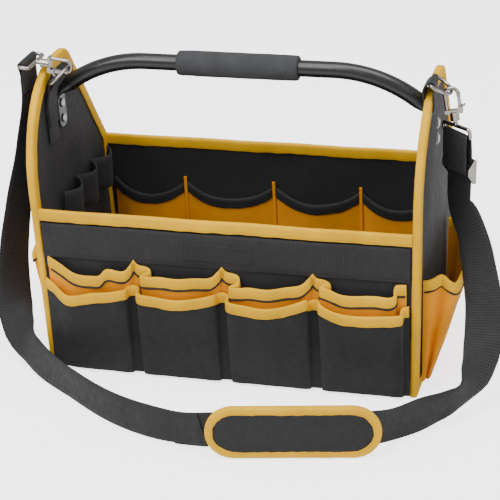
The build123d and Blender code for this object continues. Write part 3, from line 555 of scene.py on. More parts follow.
def along_run(run, step, clear):
    """Points every step along a run, keeping clear of its ends."""
    flat = [Vector((y, z, 0)) for y, z in run]
    reach = running_length(flat)
    count = max(1, int((reach[-1] - 2 * clear) / step))
    found = [flat[0]]
    for distance in steps(clear, reach[-1] - clear, count):
        spot, share = locate(reach, distance)
        found.append(flat[spot].lerp(flat[spot + 1], share))
    return found


def end_binding(side, label):
    """Tape round the whole edge of an end wall, mitred at its corners."""
    flat = [point for run in gable_runs() for point in along_run(run, 4.5, TAPE_WIDTH + 1.5)]
    spots = []
    for i, point in enumerate(flat):
        before = (point - flat[i - 1]).normalized()
        after = (flat[(i + 1) % len(flat)] - point).normalized()
        normal_a, normal_b = Vector((before.y, -before.x)), Vector((after.y, -after.x))
        inward = (normal_a + normal_b) / (1 + normal_a.dot(normal_b))
        wobble = ripple(side * 5, point.x, point.y, 11, 0.9)
        spots.append(((point, inward), wobble, abs(ripple(side * 3, point.x, point.y, 7, 0.45))))

    def place(spot, inset, through):
        point, inward = spot
        y, z = point.x + inward.x * inset, point.y + inward.y * inset
        return Vector((side * (wall_x(z) + wall_bow(y, z) + through), y, z))

    out, node = Vector((side, 0, 0)), f"{label}_end_binding"
    folded_tape(f"{node}_tape", spots, place, out, WALL_THICK, node, closed=True)


# ---- Front, back and base ----
def long_panel(label, facing):
    """A panel between the end walls, facing the front (-1) or the back (1)."""

    def place(share, z):
        x = share * (wall_x(z) - 0.2)
        edge = clamp(min((1 - abs(share)) * 8, z / 20, (PANEL_TOP - z) / 20))
        belly = panel_bow(x, z) + edge * ripple(x, facing * 30, z, 55, 1.6)
        return (x, facing * (PANEL_OUT + belly), z), (x, facing * (PANEL_IN + belly), z)

    both = grids(steps(-1, 1, 48), steps(0.4, PANEL_TOP - 0.2, 24), place)
    shell(f"{label}_panel_cloth", *both, black_cloth, (f"{label}_panel",))


def rim_tape(label, facing):
    """Tape folded over the top edge of the front or back panel."""
    slack = 1.3
    half = wall_x(RIM_TOP) - 0.4
    spots = []
    for i in range(99):
        x = half * (i / 49 - 1)
        top = RIM_TOP + ripple(x, facing * 7, 3, 60, 0.7) - 0.4
        spots.append(((x, top), ripple(x, facing, 0, 13, 0.8), abs(ripple(x, facing * 5, 9, 8, 0.5))))

    def place(spot, inset, through):
        x, top = spot
        y = PANEL_IN - slack + through + panel_bow(x, top - inset)
        return Vector((x, facing * y, top - inset))

    thick = PANEL_OUT - PANEL_IN + 2 * slack
    out, node = -FRONT * facing, f"{label}_rim_binding"
    folded_tape(f"{label}_rim_tape", spots, place, out, thick, node, seam=(9.6, 0.45, 1))


def flat_cover(name, node, puff):
    """A cloth-covered sheet on the floor of the bag, softly raised between its edges."""
    lowest, highest = corners(node)

    def place(x, y):
        edge = clamp(min(highest.x - abs(x), highest.y - abs(y)) / 12)
        rise = puff * edge * (0.6 + ripple(x, y, 0, 40, 0.8))
        return (x, y, highest.z - 0.5 * (1 - edge) + rise), (x, y, lowest.z)

    both = grids(steps(lowest.x, highest.x, 40), steps(lowest.y, highest.y, 22), place)
    shell(name, *both, black_cloth, (node,))


def front_band():
    """Ribbed webbing across the front."""
    lowest, highest = corners("front_webbing_band")
    middle, width = (lowest.z + highest.z) / 2, highest.z - lowest.z
    centres = []
    for i in range(97):
        x = lowest.x + 0.5 + (highest.x - lowest.x - 1) * i / 96
        y = -PANEL_OUT - 1.3 - panel_bow(x, middle) - 0.5 * (1 + noise.noise(Vector((x / 24, 0, 4))))
        centres.append(Vector((x, y, middle + ripple(x, 0, 0, 70, 0.5))))
    ribbon("front_band", centres, UP, ("front_webbing_band",), width=width)
    for side in (-1, 1):
        edge = Vector((0, -1.0, side * (width / 2 - 2.2)))
        stitches.row("black", [c + edge for c in centres], FRONT)


def label_patch():
    """A blank sewn-on patch with a pressed frame."""
    lowest, highest = corners("blank_label")
    middle, half = (lowest + highest) / 2, (highest - lowest) / 2

    def place(u, v):
        from_edge = min((1 - abs(u)) * half.x, (1 - abs(v)) * half.z)
        raised = 0.9 * clamp(from_edge / 1.6) - (0.35 if from_edge > 2.4 else 0.0)
        x, z = middle.x + u * half.x, middle.z + v * half.z
        y = -PANEL_OUT - panel_bow(x, z) - 3.2
        return (x, y - raised, z), (x, y + 0.3, z)

    both = grids(steps(-1, 1, 32), steps(-1, 1, 12), place)
    shell("blank_label_patch", *both, label_cloth, ("blank_label",))
    y = -PANEL_OUT - panel_bow(middle.x, middle.z) - 4.1
    seam_x, seam_z = half.x - 1.6, half.z - 1.6
    box = [(-1, -1), (1, -1), (1, 1), (-1, 1), (-1, -1)]
    box = [Vector((middle.x + u * seam_x, y, middle.z + v * seam_z)) for u, v in box]
    for ends in zip(box, box[1:]):
        stitches.row("black", ends, FRONT, pitch=2.4, length=1.7, radius=0.3)


# ---- Rows of pockets ----
# Section of a pocket's tape: distance from the cloth's middle, height above its rim.
RIM_TAPE_OUT = ((2.05, -10), (2.25, -7), (2.3, -4), (2.1, -1), (1.3, 0.9), (0, 1.5))
RIM_TAPE_IN = ((0.95, -10), (0.95, -7), (0.95, -4), (0.95, -1), (0.6, 0.1), (0, 0.35))


def tape_on_rim(name, rim, normals, node, material=yellow_tape, thread="yellow", bulk=1.0):
    """Tape folded over a rim that winds in plan. normals point away from the bag."""
    outer, inner, rows = [], [], ([], [])
    for point, normal in zip(rim, normals):
        wobble = ripple(point.x, point.y, point.z, 9, 0.8)
        for half, grid in ((RIM_TAPE_OUT, outer), (RIM_TAPE_IN, inner)):
            section = [(o, d + (wobble if d < -9 else 0)) for o, d in half]
            section += [(-o, d) for o, d in section[-2::-1]]
            grid.append([point + normal * o * bulk + UP * d for o, d in section])
        for row, side in zip(rows, (1, -1)):
            row.append(point + normal * side * 2.3 * bulk - UP * 7.9)
    shell(name, outer, inner, material, (node,))
    stitches.row(thread, rows[0], normals)
    stitches.row(thread, rows[1], [-n for n in normals])


def hanging_sheet(name, rim, normals, floor, drop_out, material, node, thick=1.6):
    """Cloth that hangs from a rim to floor. drop_out(point, share) moves a point as it comes down."""

    def place(spot, share):
        point, normal = spot
        moved = drop_out(point, share)
        middle = Vector((moved.x, moved.y, point.z + (floor - point.z) * share))
        return middle + normal * (thick / 2), middle - normal * (thick / 2)

    both = grids(list(zip(rim, normals)), steps(0, 1, 16), place)
    shell(name, *both, material, (node,), sharp=65.0)


def piping(name, rim, normals, drop, out):
    """A thin dark cord below a rim's tape."""
    radius = 1.3
    points = [p + n * out - UP * drop for p, n in zip(rim, normals)][1:-1]
    outer, inner = [], []
    for centre, along in zip(points, tangents(points)):
        side = along.cross(UP).normalized()
        up = side.cross(along)
        turn = [radians(30 + 60 * k) for k in range(6)]
        loop = [centre + side * (cos(a) * radius) + up * (sin(a) * radius) for a in turn]
        outer.append(loop[:3])
        inner.append(loop[:2:-1])
    shell(name, outer, inner, black_tape, sharp=80.0)


# Each column of front pockets: how far its left fold, its middle and its right edge lie below the
# dividers' tops, for the yellow layer behind and the black layer in front.
REAR_COLUMNS = ((10.0, 18.5, 10.0), (13.5, 14.0, 8.5), (18.5, 18.0, 8.5), (10.0, 17.5, 15.5))
FRONT_COLUMNS = ((15.0, 14.0, 3.0), (5.0, 9.0, 0.5), (6.0, 10.5, -2.0), (1.0, 10.5, 7.0))


def rear_column(column, width, fold, middle, edge):
    """The layer behind: each column but the first starts with cloth folded back on itself."""
    if column == 0:
        begin = [(16, 3, 11), (30, 6.5, 17.5), (52, 7.5, 18.5), (58, 7, 17.5), (64, 5.2, 11.5), (72, 5, 10.5)]
    else:
        begin = [(2, 0.2, 2.5), (15, 0.4, 7), (17.5, 2, 8.5), (15, 3.8, fold - 3), (10.5, 4.3, fold - 1.2)]
        begin += [(8.8, 5.8, fold), (11.5, 7.2, fold + 0.4), (28, 7.6, middle - 0.8), (46, 7.8, middle)]
        begin += [(width - 24, 7.4, (middle + edge) / 2)]
    if column == 3:
        return begin, [(-13, 6.8, 16), (-10.5, 5.6, 13.5), (-10, 1.6, 5.5), (-7, 0.8, 5), (0, 0, 5)]
    return begin, [(-8, 5, edge), (-5.5, 3.4, edge - 2.5), (-2.5, 0.8, 3), (0, 0, 0)]


def front_column(column, width, fold, middle, edge):
    """The layer in front: full columns that turn in sharply at the dividers."""
    turn = (width - 24, 11, (middle + edge) / 2 - (2 if column == 0 else 0))
    if column == 0:
        begin = [(12, 4, 8), (26, 9.8, fold), (31, 10.6, fold - 0.4), (52, 11, 9.5), turn]
    else:
        begin = [(5, 0.3, 2), (6.6, 2.4, 2.5), (6.4, 8, fold - 0.5), (8.6, 10.4, fold)]
        begin += [(24, 11, middle - 2), (44, 11.4, middle), turn]
    return begin, [(-9, 10.2, edge), (-6.8, 8, edge), (-6.2, 2.4, 2.5), (-4, 0.4, 2), (0, 0, 1)]


def rim_keys(half, start, columns, column_keys):
    """Keys of a winding rim: X, distance out and depth below the dividers' tops.

    column_keys gives those measured from a column's left edge and those measured from its right edge.
    """
    keys = [(-half, 0, start)]
    for column, sizes in enumerate(columns):
        left, right = (half * (edge / 2 - 1) for edge in (column, column + 1))
        begin, finish = column_keys(column, half / 2, *sizes)
        keys += [(left + x, out, depth) for x, out, depth in begin]
        keys += [(right + x, out, depth) for x, out, depth in finish]
    return keys


def front_pockets(layer, cloth, keys, near, top, floor, wider, fall):
    """One layer of the pleated pockets on the front, and the tape on its rim."""
    name = f"front_pocket_{layer}"
    half = corners(f"{name}_layer")[1].x + wider
    keys = [(x, -near - out, top - depth) for x, out, depth in rim_keys(half, *keys)]
    path = smooth_path(keys, 5)
    rim = [p + FRONT * panel_bow(p.x, p.z) for p in path]
    normals = plan_normals(rim)

    def drop_out(point, share):
        forward = -point.y - near
        kept = 1 - 0.6 * min(1.0, fall * share) ** 1.3
        crease = ripple(point.x * 1.6, layer == "front", share * 60, 17, 1.3) * sin(pi * share)
        return Vector((point.x, -(near + forward * kept + crease * clamp(forward / 5)), 0))

    hanging_sheet(f"{name}_cloth", rim, normals, floor, drop_out, cloth, f"{name}_layer", 1.2)
    tape_on_rim(f"{name}_tape", rim, normals, f"{name}_binding", bulk=0.72)
    return rim, normals


def bar_tacks(rim):
    """Dense stitching where each divider is sewn to the panel."""
    for column in (1, 2, 3):
        x = rim[-1].x * (column / 2 - 1)
        top = min(rim, key=lambda p: abs(p.x - x))
        for offset in (-1.6, 0.0, 1.6):
            line = [top + Vector((offset, -2.6, -1.0 - 3.0 * k)) for k in range(4)]
            stitches.row("yellow", line, FRONT, pitch=1.1, length=1.3, radius=0.35)


def inner_pockets():
    """Four scalloped pockets on the inside of the back panel, with divider strips."""
    half = corners("inner_back_pockets")[1].x
    near = corners("inner_back_pockets")[1].y - 0.8
    dividers = (-half, -0.55 * half, 0.0, 0.53 * half, half)
    low_z, high_z = 113.0, 128.5
    rim = []
    for i in range(113):
        x = -half + 2 * half * i / 112
        column = max(c for c in range(4) if x >= dividers[c] - 1e-6)
        left, right = dividers[column], dividers[column + 1]
        q = abs((x - left) / (right - left) * 2 - 1)
        z = low_z + (high_z - low_z) * q**2.1 + ripple(x, 0, 7, 30, 1.4)
        rim.append(Vector((x, near - 9.5 * (1 - q**2.4) + panel_bow(x, z), z)))
    normals = plan_normals(rim)

    def drop_out(point, share):
        kept = 1 - 0.5 * share**1.6
        crease = ripple(point.x * 1.3, 5, share * 50, 20, 1.0) * sin(pi * share)
        return Vector((point.x, near - (near - point.y) * kept - crease, 0))

    hanging_sheet("inner_pocket_cloth", rim, normals, 6.0, drop_out, yellow_cloth, "inner_back_pockets")
    tape_on_rim("inner_pocket_tape", rim, normals, "inner_back_pocket_binding", black_tape, "black")
    for c in (1, 2, 3):
        x = dividers[c]
        centres = [Vector((x, near - 3.4 + panel_bow(x, z), z)) for z in range(8, 137, 8)]
        ribbon(f"inner_divider_{c}", centres, Vector((1, 0, 0)), width=3.2, thick=1.6, material=yellow_cloth)


def side_pocket(side, label, fullness):
    """A gusseted pouch on the outside of an end wall, narrowing to its foot."""
    lowest, highest = corners("right_side_pocket")
    start, reach = lowest.x, (highest.x - lowest.x) * fullness
    front, back, top = lowest.y, highest.y, highest.z
    middle = (front + back) / 2
    keys = [
        (0.0, front - 6, top + 1),
        (0.30, front - 3, top + 3),
        (0.52, front + 4, top + 4.5),
        (0.70, front + 1, top + 2),
        (0.90, front + 3, top - 3),
        (1.0, front + 16, top - 2),
        (1.02, middle - 15, top - 1),
        (1.0, back - 18, top + 1),
        (0.86, back - 3, top - 1),
        (0.62, back - 4, top + 3),
        (0.34, back + 1, top + 3),
        (0.0, back + 3, top + 1),
    ]
    rim = smooth_path([(side * (start + share * reach), y, z) for share, y, z in keys], 9)
    rim = [p + Vector((side * wall_bow(p.y, p.z), 0, 0)) for p in rim]
    normals = [normal * side for normal in plan_normals(rim)]

    def drop_out(point, share):
        out = side * point.x - start
        kept = 1 - 0.80 * clamp((share - 0.1) / 0.9) ** 1.1
        crease = ripple(point.y * 1.5, side * 3, share * 60, 19, 1.5) * sin(pi * share) * clamp(out / 10)
        lean = -(point.z - 4) * share * tan(END_LEAN)
        y = middle + (point.y - middle) * (1 - 0.1 * share)
        return Vector((side * (start + out * kept + crease + lean), y, 0))

    node = f"{label}_side_pocket"
    hanging_sheet(f"{label}_pouch_cloth", rim, normals, 4.0, drop_out, yellow_cloth, node)
    tape_on_rim(f"{label}_pouch_tape", rim, normals, f"{node}_binding")
    piping(f"{label}_pouch_piping", rim, normals, drop=11.2, out=1.1)


# ---- Webbing loops and tabs ----
def tool_loops():
    """Webbing sewn to the left wall in open loops."""
    lowest, highest = corners("left_tool_loops")
    pitch = (highest.y - lowest.y) / 3
    middle, width = (lowest.z + highest.z) / 2, highest.z - lowest.z
    centres = []
    for i in range(61):
        y = lowest.y + 2 + (highest.y - lowest.y - 4) * i / 60
        q = abs(((y - lowest.y) / pitch) % 1.0 * 2 - 1)
        z = middle - 2.5 * (1 - q) + 2.0
        centres.append(Vector((1.6 - wall_x(z) - wall_bow(y, z) + 14.5 * (1 - q**2.2), y, z)))
    ribbon("tool_loop_webbing", centres, Vector((0, 0.06, 1)), ("left_tool_loops",), width=width)
    for c in range(4):
        y = clamp(lowest.y + pitch * c, lowest.y + 3, highest.y - 3)
        x = 2.7 - wall_x(middle) - wall_bow(y, middle)
        line = [Vector((x, y, middle + width * (k / 6 - 0.5) * 0.9)) for k in range(7)]
        stitches.row("black", line, Vector((1, 0, 0)), **SEAM)


TAB_WIDTH = 25.0
TAB = 1.6
RING_WIRE = 1.8


def turned(centre, first, last):
    """Points of an arc in XZ round a ring's bar, in degrees from +X towards +Z."""
    radius = RING_WIRE + 0.15 + TAB / 2
    turn = [radians(angle) for angle in steps(first, last, 12)]
    return [centre + Vector((cos(a), 0, sin(a))) * radius for a in turn]


def ring_tabs():
    """The webbing that holds each D-ring: up the inside and round the ring's straight bar."""
    bar = joint_place("left_ring_hinge")
    left = [Vector((1.2 - wall_x(z), bar.y, z)) for z in (233, 246, 259, 271)] + turned(bar, 190, -45)
    left += [Vector((3.0 - wall_x(z), bar.y, z)) for z in (272, 262, 252)]
    bar = joint_place("right_ring_hinge")
    brink = bar.z - 3.5
    right = [Vector((wall_x(z) - 1.2, bar.y, z)) for z in (233, 256, 280, 304, brink)] + turned(bar, 140, 40)
    right += [Vector((wall_x(z) + WALL_THICK + 1.3, bar.y, z)) for z in (brink, 306, 291)]
    for label, points in (("left", left), ("right", right)):
        path = smooth_path(points, 3)
        nodes = (f"{label}_ring_tab",)
        ribbon(f"{label}_ring_webbing", path, -FRONT, nodes, width=TAB_WIDTH, thick=TAB)
    for y in (-1, 1):
        for ends, x in (((236, 266), 4.0 - wall_x(250)), ((293, 306), wall_x(300) + WALL_THICK + 2.3)):
            line = [Vector((x, bar.y + y * (TAB_WIDTH / 2 - 2), z)) for z in ends]
            stitches.row("black", line, Vector((1, 0, 0)), **SEAM)


# ---- Grip ----
def grip():
    """A foam sleeve, slightly fuller in the middle, with rolled ends."""
    lowest, highest = corners("foam_grip")
    centre, half = (lowest + highest) / 2, (highest - lowest) / 2
    bore = 8.6
    rolled = [(1.0, 0.76), (0.995, 0.90), (0.98, 0.97)]
    profile = [(-share, size) for share, size in rolled]
    profile += [(k / 14, 1.0 + 0.02 * (1 - (k / 14) ** 2)) for k in range(-13, 14)] + rolled[::-1]

    def place(angle, ring):
        share, size = ring
        direction = Vector((0, cos(angle), sin(angle)))
        dent = ripple(share * half.x, cos(angle) * 13, sin(angle) * 13, 16, 0.35) if size > 0.99 else 0
        spot = centre + Vector((share * half.x, 0, 0))
        return spot + direction * (half.z * size + dent), spot + direction * bore

    both = grids(steps(0, 2 * pi, 40)[:-1], profile, place)
    shell("grip_sleeve", *both, grip_foam, ("foam_grip",), closed=True)


# ---- Shoulder strap ----
EYE_BAR = 20.5
EYE_WIRE = 2.1
TURN = EYE_WIRE + WEBBING / 2
left_bar = joint_place("strap_swing") + Vector(joints["strap_swing"]["axis"]) * EYE_BAR
right_bar = sum(corners("strap_right_turn"), Vector()) / 2
strand_dir = Vector(joints["slider_slide"]["axis"])
pad_dir = Vector(joints["pad_slide"]["axis"])
pad_front = Vector((pad_dir.y, -pad_dir.x, 0))
pad_centre = Vector((101.5, -237.0, 29.0))
STRAIGHT_RUN = 68.0
BAR_DIR = Vector((0.70, -0.70, 0.0))
bar_dir = (BAR_DIR - strand_dir * BAR_DIR.dot(strand_dir)).normalized()
strand_front = bar_dir.cross(-strand_dir)
LONG_STRAND = -4.5
END_STRAND = 2.5
STRAND_START = 19.0
STRAND_END = 66.0
SLIDER_DROP = 34.0
SLIDER_TURN = 2.5


def strand_point(drop, forward):
    """A point under the right bar: drop down the strands, forward of their middle."""
    return right_bar + strand_dir * drop + strand_front * forward


def stations(rows, start, end):
    """A run of webbing through (centre, across) rows, both smoothed."""
    centres = smooth_path([row[0] for row in rows], 6.0, start, end)
    reach = running_length([Vector(row[0]) for row in rows])
    total = running_length(centres)
    across = [Vector(row[1]).normalized() for row in rows]
    widths = []
    for distance in total:
        spot, share = locate(reach, min(distance * reach[-1] / total[-1], reach[-1] - 1e-6))
        widths.append(across[spot].lerp(across[spot + 1], share * share * (3 - 2 * share)))
    return centres, widths


def straight(start, end, count):
    """Points along a straight part of the strap, without the first point."""
    return [start.lerp(end, share) for share in steps(0, 1, count)[1:]]


def left_run():
    """From inside the left loop, round the swivel's bar, down and along the floor to the pad."""
    beside = WEBBING / 2 + 0.15
    loop = [left_bar + Vector((beside, 0, -z)) for z in (30, 22, 14, 8)]
    turn = [radians(angle) for angle in steps(-10, 190, 10)]
    loop += [left_bar + Vector((TURN * cos(a), 0, TURN * sin(a))) for a in turn]
    loop += [left_bar + Vector((-beside, 0, -z)) for z in (8, 16, 24)]
    rows = [(point, FRONT) for point in loop]
    rows += [
        ((-226, -49, 232), (-0.25, -0.97, 0)),
        ((-240, -53, 168), (-0.45, -0.89, 0)),
        ((-251, -57, 109), (-0.55, -0.83, 0)),
        ((-251, -69, 68), (-0.6, -0.75, -0.2)),
        ((-240, -93, 38), (-0.5, -0.55, -0.65)),
        ((-213, -124, 23), (-0.2, -0.15, -0.97)),
        ((-150, -178, 20.6), DOWN),
        ((-97, -214, 20.2), DOWN),
        ((-45, -236, 20.6), DOWN),
        ((0, -246, 23), (0, 0.1, -1)),
        (pad_centre - pad_dir * STRAIGHT_RUN, DOWN),
    ]
    centres, widths = stations(rows, UP, pad_dir)
    centres += straight(centres[-1], pad_centre, 12)
    widths += [DOWN] * 12
    ribbon("strap_left_run", centres, widths, ("strap_left_loop", "strap_webbing"), "strap")
    for z in (11, 26):
        line = [left_bar + Vector((-2.2, y, -z)) for y in (-16, 16)]
        stitches.row("black", line, Vector((-1, 0, 0)), "strap", 2.8, 2.0)
    return centres, widths


def strap_splice(centres, widths):
    """A second thickness sewn over the join in the webbing, left of the pad."""
    covered = [i for i, c in enumerate(centres) if -22 < c.x < 16 and c.y < -200]
    part = slice(covered[0], covered[-1] + 1)
    lifted = [c + pad_front * 1.9 for c in centres[part]]
    ribbon("strap_splice", lifted, widths[part], body="strap")
    for share in (0.12, 0.88):
        seam = lifted[0].lerp(lifted[-1], share) + pad_front * 1.6
        stitches.row("black", [seam + UP * up for up in (-16, 0, 16)], pad_front, "strap", **SEAM)


def right_run():
    """From the pad along the floor and up to the slider, ending just below the right bar."""
    rows = [
        (pad_centre + pad_dir * STRAIGHT_RUN, UP),
        ((186, -208, 24), (0, -0.15, 1)),
        ((213, -177, 21), UP),
        ((235, -153, 21), (0, -0.3, 1)),
        ((251, -138, 27), (-0.3, -0.75, 0.6)),
        ((262, -121, 45), (-0.75, -0.6, 0.2)),
        ((265, -100, 74), (-0.98, -0.1, -0.05)),
        ((262, -84, 108), (-0.98, 0.15, -0.1)),
        ((254, -70, 143), (-0.93, 0.3, -0.15)),
        ((243, -58, 176), (-0.8, 0.5, -0.2)),
        (strand_point(STRAND_END, LONG_STRAND), -bar_dir),
    ]
    centres, widths = stations(rows, pad_dir, -strand_dir)
    below = straight(centres[0], pad_centre, 12)[::-1]
    above = straight(centres[-1], strand_point(STRAND_START + 3, LONG_STRAND), 8)
    widths = [UP] * len(below) + widths + [-bar_dir] * len(above)
    ribbon("strap_right_run", below + centres + above, widths, body="strap")


def round_rod(rod, radius, first, last, count):
    """Points round a rod between the strands, in degrees from its front over its top."""
    turn = [radians(angle) for angle in steps(first, last, count)]
    return [rod - strand_dir * (radius * sin(a)) + strand_front * (radius * cos(a)) for a in turn]


def right_loop():
    """Webbing over the right swivel's bar: the one place where the strap bends against the bag."""
    points = [strand_point(STRAND_START + 4, LONG_STRAND), strand_point(14, LONG_STRAND + 0.4)]
    points += round_rod(right_bar, TURN, 180, 0, 12)
    points += [strand_point(10, END_STRAND + 0.7), strand_point(STRAND_START + 4, END_STRAND)]
    made = ribbon("strap_right_loop", smooth_path(points, 4), bar_dir, ("strap_right_turn",), None)
    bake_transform(made)


def end_strand():
    """The free end from the loop round the slider's middle rod."""
    points = [strand_point(STRAND_START + 3, END_STRAND), strand_point(27, END_STRAND)]
    points += round_rod(strand_point(SLIDER_DROP, 0), SLIDER_TURN, 0, -180, 10)
    points += [strand_point(27, -1.9)]
    nodes = ("strap_end_strand", "slider_turn")
    made = ribbon("strap_end", smooth_path(points, 4), bar_dir, nodes, None)
    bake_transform(made)


# ---- Shoulder pad ----
PAD_HALF_RUN = 57.5
PAD_RADIUS = 28.5
PAD_THICK = 7.0
PAD_NEAR = 2.4
PAD_TAPE_THICK = 6.6
PAD_TAPE_NARROWED = 0.66


def stadium(radius, bends=20, runs=14):
    """A stadium outline in the pad's plane, with outward normals."""
    found = []
    for end in (1, -1):
        for a in steps(pi / 2, -pi / 2, bends)[:-1]:
            direction = Vector((end * cos(a), end * sin(a)))
            found.append((Vector((end * PAD_HALF_RUN, 0)) + direction * radius, direction))
        for share in steps(end, -end, runs)[:-1]:
            found.append((Vector((PAD_HALF_RUN * share, -end * radius)), Vector((0, -end))))
    return found


def pad_place(along, up, forward):
    return pad_centre + pad_dir * along + UP * up + pad_front * forward


def apply_modifiers(piece):
    """Replaces a piece's mesh by what its modifiers make of it."""
    graph = bpy.context.evaluated_depsgraph_get()
    mesh = bpy.data.meshes.new_from_object(piece.evaluated_get(graph), depsgraph=graph)
    piece.modifiers.clear()
    piece.data = mesh


def puff(piece, voxel, pressure, limit):
    """Cloth simulation: the closed piece swells like stuffed fabric, no point by more than limit."""
    remesh = piece.modifiers.new("remesh", "REMESH")
    remesh.mode = "VOXEL"
    remesh.voxel_size = voxel * MM
    apply_modifiers(piece)
    before = [v.co.copy() for v in piece.data.vertices]
    settings = piece.modifiers.new("cloth", "CLOTH").settings
    settings.use_pressure = True
    settings.uniform_pressure_force = pressure
    settings.effector_weights.gravity = 0
    settings.tension_stiffness = 12
    settings.bending_stiffness = 3
    for step in range(1, 21):
        bpy.context.scene.frame_set(step)
    apply_modifiers(piece)
    bpy.context.scene.frame_set(1)
    for vertex, old in zip(piece.data.vertices, before):
        move = vertex.co - old
        if move.length > limit * MM:
            vertex.co = old + move.normalized() * limit * MM
    smooth = piece.modifiers.new("smooth", "SUBSURF")
    smooth.levels = smooth.render_levels = 1
    apply_modifiers(piece)
    piece.data.polygons.foreach_set("use_smooth", [True] * len(piece.data.polygons))


def pad_body():
    """The stuffed cushion, with threads that run along and across it after the remesh."""

    def place(spot, share):
        point = spot[0] * share
        depth = 1.9 + 0.9 * sqrt(1 - share**3 * 0.98)
        return [pad_place(point.x, point.y, PAD_NEAR + PAD_THICK / 2 + side * depth) for side in (1, -1)]

    both = grids(stadium(PAD_RADIUS - 2.6), steps(1, 0, 8), place)
    made = shell("pad_cushion", *both, black_cloth, ("pad_body",), None, True)
    puff(made, voxel=2.4, pressure=4.0, limit=1.2)
    mesh = made.data
    layer = mesh.uv_layers.get("cloth") or mesh.uv_layers.new(name="cloth")
    for loop in mesh.loops:
        place = mesh.vertices[loop.vertex_index].co - pad_centre * MM
        layer.data[loop.index].uv = (place.dot(pad_dir), place.z)
    mesh.materials.clear()
    mesh.materials.append(black_cloth)
    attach(made, "pad")


def pad_tape():
    """Tape round the edge of the pad."""
    spots = []
    for point, direction in stadium(PAD_RADIUS - 0.4, 24, 18):
        wobble = ripple(point.x, point.y, 2, 8, 1.6)
        spots.append(((point, direction), wobble, abs(ripple(point.x, point.y, 8, 9, 0.9))))

    def place(spot, inset, through):
        point = spot[0] - spot[1] * inset * PAD_TAPE_NARROWED
        return pad_place(point.x, point.y, PAD_NEAR + (PAD_THICK - PAD_TAPE_THICK) / 2 + through)

    seam = (6.2 / PAD_TAPE_NARROWED, 0.5, 0.5)
    shape = {"closed": True, "seam": seam, "ease": lambda depth: clamp(1.4 - depth / 9)}
    folded_tape("pad_tape", spots, place, pad_front, PAD_TAPE_THICK, "pad_binding", "pad", **shape)


def pad_keepers():
    """Two bands sewn behind the pad that hold it to the strap."""
    half = WEBBING_WIDTH / 2 + 2.2
    near, far = -WEBBING / 2 - 1.5, PAD_NEAR - 0.6
    profile = [(far, half + 4), (far, half + 1), (near + 0.6, half), (near, half - 2), (near - 0.3, 0)]
    profile += [(near, 2 - half), (near + 0.6, -half), (far, -half - 1), (far, -half - 4)]
    for index, along in enumerate((-46.0, 46.0)):
        path = smooth_path([pad_place(along, up, forward) for forward, up in profile], 5)
        nodes = () if index else ("pad_keepers",)
        ribbon(f"pad_keeper_{index + 1}", path, pad_dir, nodes, "pad", 22.0, 1.6)


# ---- Build ----
for side, label, fullness in ((1, "right", 1.0), (-1, "left", 0.5)):
    end_wall(side, label)
    end_binding(side, label)
    side_pocket(side, label, fullness)
for label, facing in (("front", -1), ("back", 1)):
    long_panel(label, facing)
    rim_tape(label, facing)
flat_cover("base_cloth", "bottom_panel", 0.0)
flat_cover("base_insert", "base_board", 1.2)
front_band()
label_patch()

rear_near = 0.8 - corners("front_pocket_rear_layer")[1].y
rear_shape = {"top": 132.0, "floor": 6.0, "wider": -0.5, "fall": 1.6}
front_shape = {"top": 106.0, "floor": 3.5, "wider": 2.5, "fall": 1.0}
rear_keys, front_keys = (3, REAR_COLUMNS, rear_column), (1, FRONT_COLUMNS, front_column)
rear_rim, rear_normals = front_pockets("rear", yellow_cloth, rear_keys, rear_near, **rear_shape)
front_pockets("front", black_cloth, front_keys, rear_near + 3.1, **front_shape)
piping("rear_layer_piping", rear_rim, rear_normals, drop=11.4, out=1.2)
bar_tacks(rear_rim)
inner_pockets()
tool_loops()
ring_tabs()
grip()
strap_splice(*left_run())
right_run()
right_loop()
end_strand()
pad_body()
pad_tape()
pad_keepers()
stitches.make()

METAL = {
    nickel: ("hook_body", "hook_gate", "gate_pin", "swivel_eye", "d_ring", "slider_frame"),
    rivet_steel: ("rivets", "washers"),
    spring_steel: ("gate_spring",),
    gloss_paint: ("handle_tube",),
}
for name, node in frame["nodes"].items():
    for material, words in METAL.items():
        if any(word in name for word in words):
            node.data.materials.clear()
            node.data.materials.append(material)


# ---- Floor, light and camera ----
FLOOR_REACH = 6.0
FLOOR_GLOW = 2.4
BACKDROP = 6.0
AZIMUTH, ELEVATION, ROLL = radians(16.3), radians(25.54), radians(-2.95)
CAMERA_AT = (0.4761, -1.6344, 0.9132)


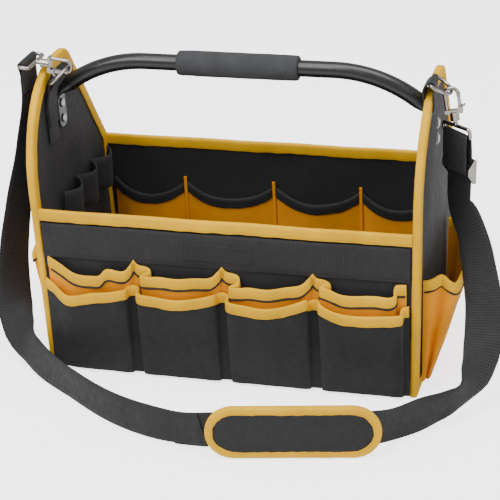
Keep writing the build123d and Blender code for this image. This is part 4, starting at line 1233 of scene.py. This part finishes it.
def stage():
    """A plain pale floor, brightened only where the camera sees it."""
    mesh = bpy.data.meshes.new("floor")
    square = [(a * FLOOR_REACH, b * FLOOR_REACH, 0) for a, b in ((-1, -1), (1, -1), (1, 1), (-1, 1))]
    mesh.from_pydata(square, [], [(0, 1, 2, 3)])
    floor = add_object("floor", mesh)
    pale = Shader("pale_floor")
    tone = pale.mix(pale.noise(3.0), rgb(0.90, 0.90, 0.90), rgb(0.93, 0.93, 0.93))
    seen = pale.node("ShaderNodeLightPath").outputs["Is Camera Ray"]
    pale.set(Emission_Color=rgb(1, 1, 1), Emission_Strength=pale.math("MULTIPLY", seen, FLOOR_GLOW))
    mesh.materials.append(pale.set(Base_Color=tone, Roughness=0.7))


def area_light(name, place, target, size, power):
    light = bpy.data.lights.new(name, "AREA")
    light.shape = "RECTANGLE"
    light.size, light.size_y = size
    light.energy = power
    lamp = add_object(name, light)
    lamp.location = place
    lamp.rotation_euler = (Vector(target) - Vector(place)).to_track_quat("-Z", "Y").to_euler()


def world_light(strength):
    """Even white light, with a brighter backdrop behind the object."""
    world = bpy.data.worlds.new("studio")
    world.use_nodes = True
    nodes, links = world.node_tree.nodes, world.node_tree.links
    lifted = nodes.new("ShaderNodeMath")
    lifted.operation = "MULTIPLY_ADD"
    lifted.inputs[1].default_value = BACKDROP
    lifted.inputs[2].default_value = strength
    links.new(nodes.new("ShaderNodeLightPath").outputs["Is Camera Ray"], lifted.inputs[0])
    links.new(lifted.outputs[0], nodes["Background"].inputs[1])
    nodes["Background"].inputs[0].default_value = rgb(1.0, 1.0, 1.0)
    bpy.context.scene.world = world


def camera():
    """The photograph's view."""
    forward = Vector((-sin(AZIMUTH) * cos(ELEVATION), cos(AZIMUTH) * cos(ELEVATION), -sin(ELEVATION)))
    level = Vector((cos(AZIMUTH), sin(AZIMUTH), 0))
    right = level * cos(ROLL) + level.cross(forward) * sin(ROLL)
    made = add_object("camera", bpy.data.cameras.new("camera"))
    made.data.lens = 125.92
    made.data.sensor_width = 36.0
    turn = Matrix((right, right.cross(forward), -forward)).transposed().to_4x4()
    made.matrix_world = Matrix.Translation(CAMERA_AT) @ turn
    bpy.context.scene.camera = made


stage()
world_light(0.72)
area_light("key", (-0.9, -1.4, 1.9), (0, -0.05, 0.1), (1.4, 1.4), 34)
area_light("fill", (1.6, -0.9, 1.1), (0, 0, 0.1), (1.2, 1.2), 10)
area_light("top", (0.1, -0.25, 2.1), (0, 0.05, 0.1), (1.6, 1.2), 30)
camera()
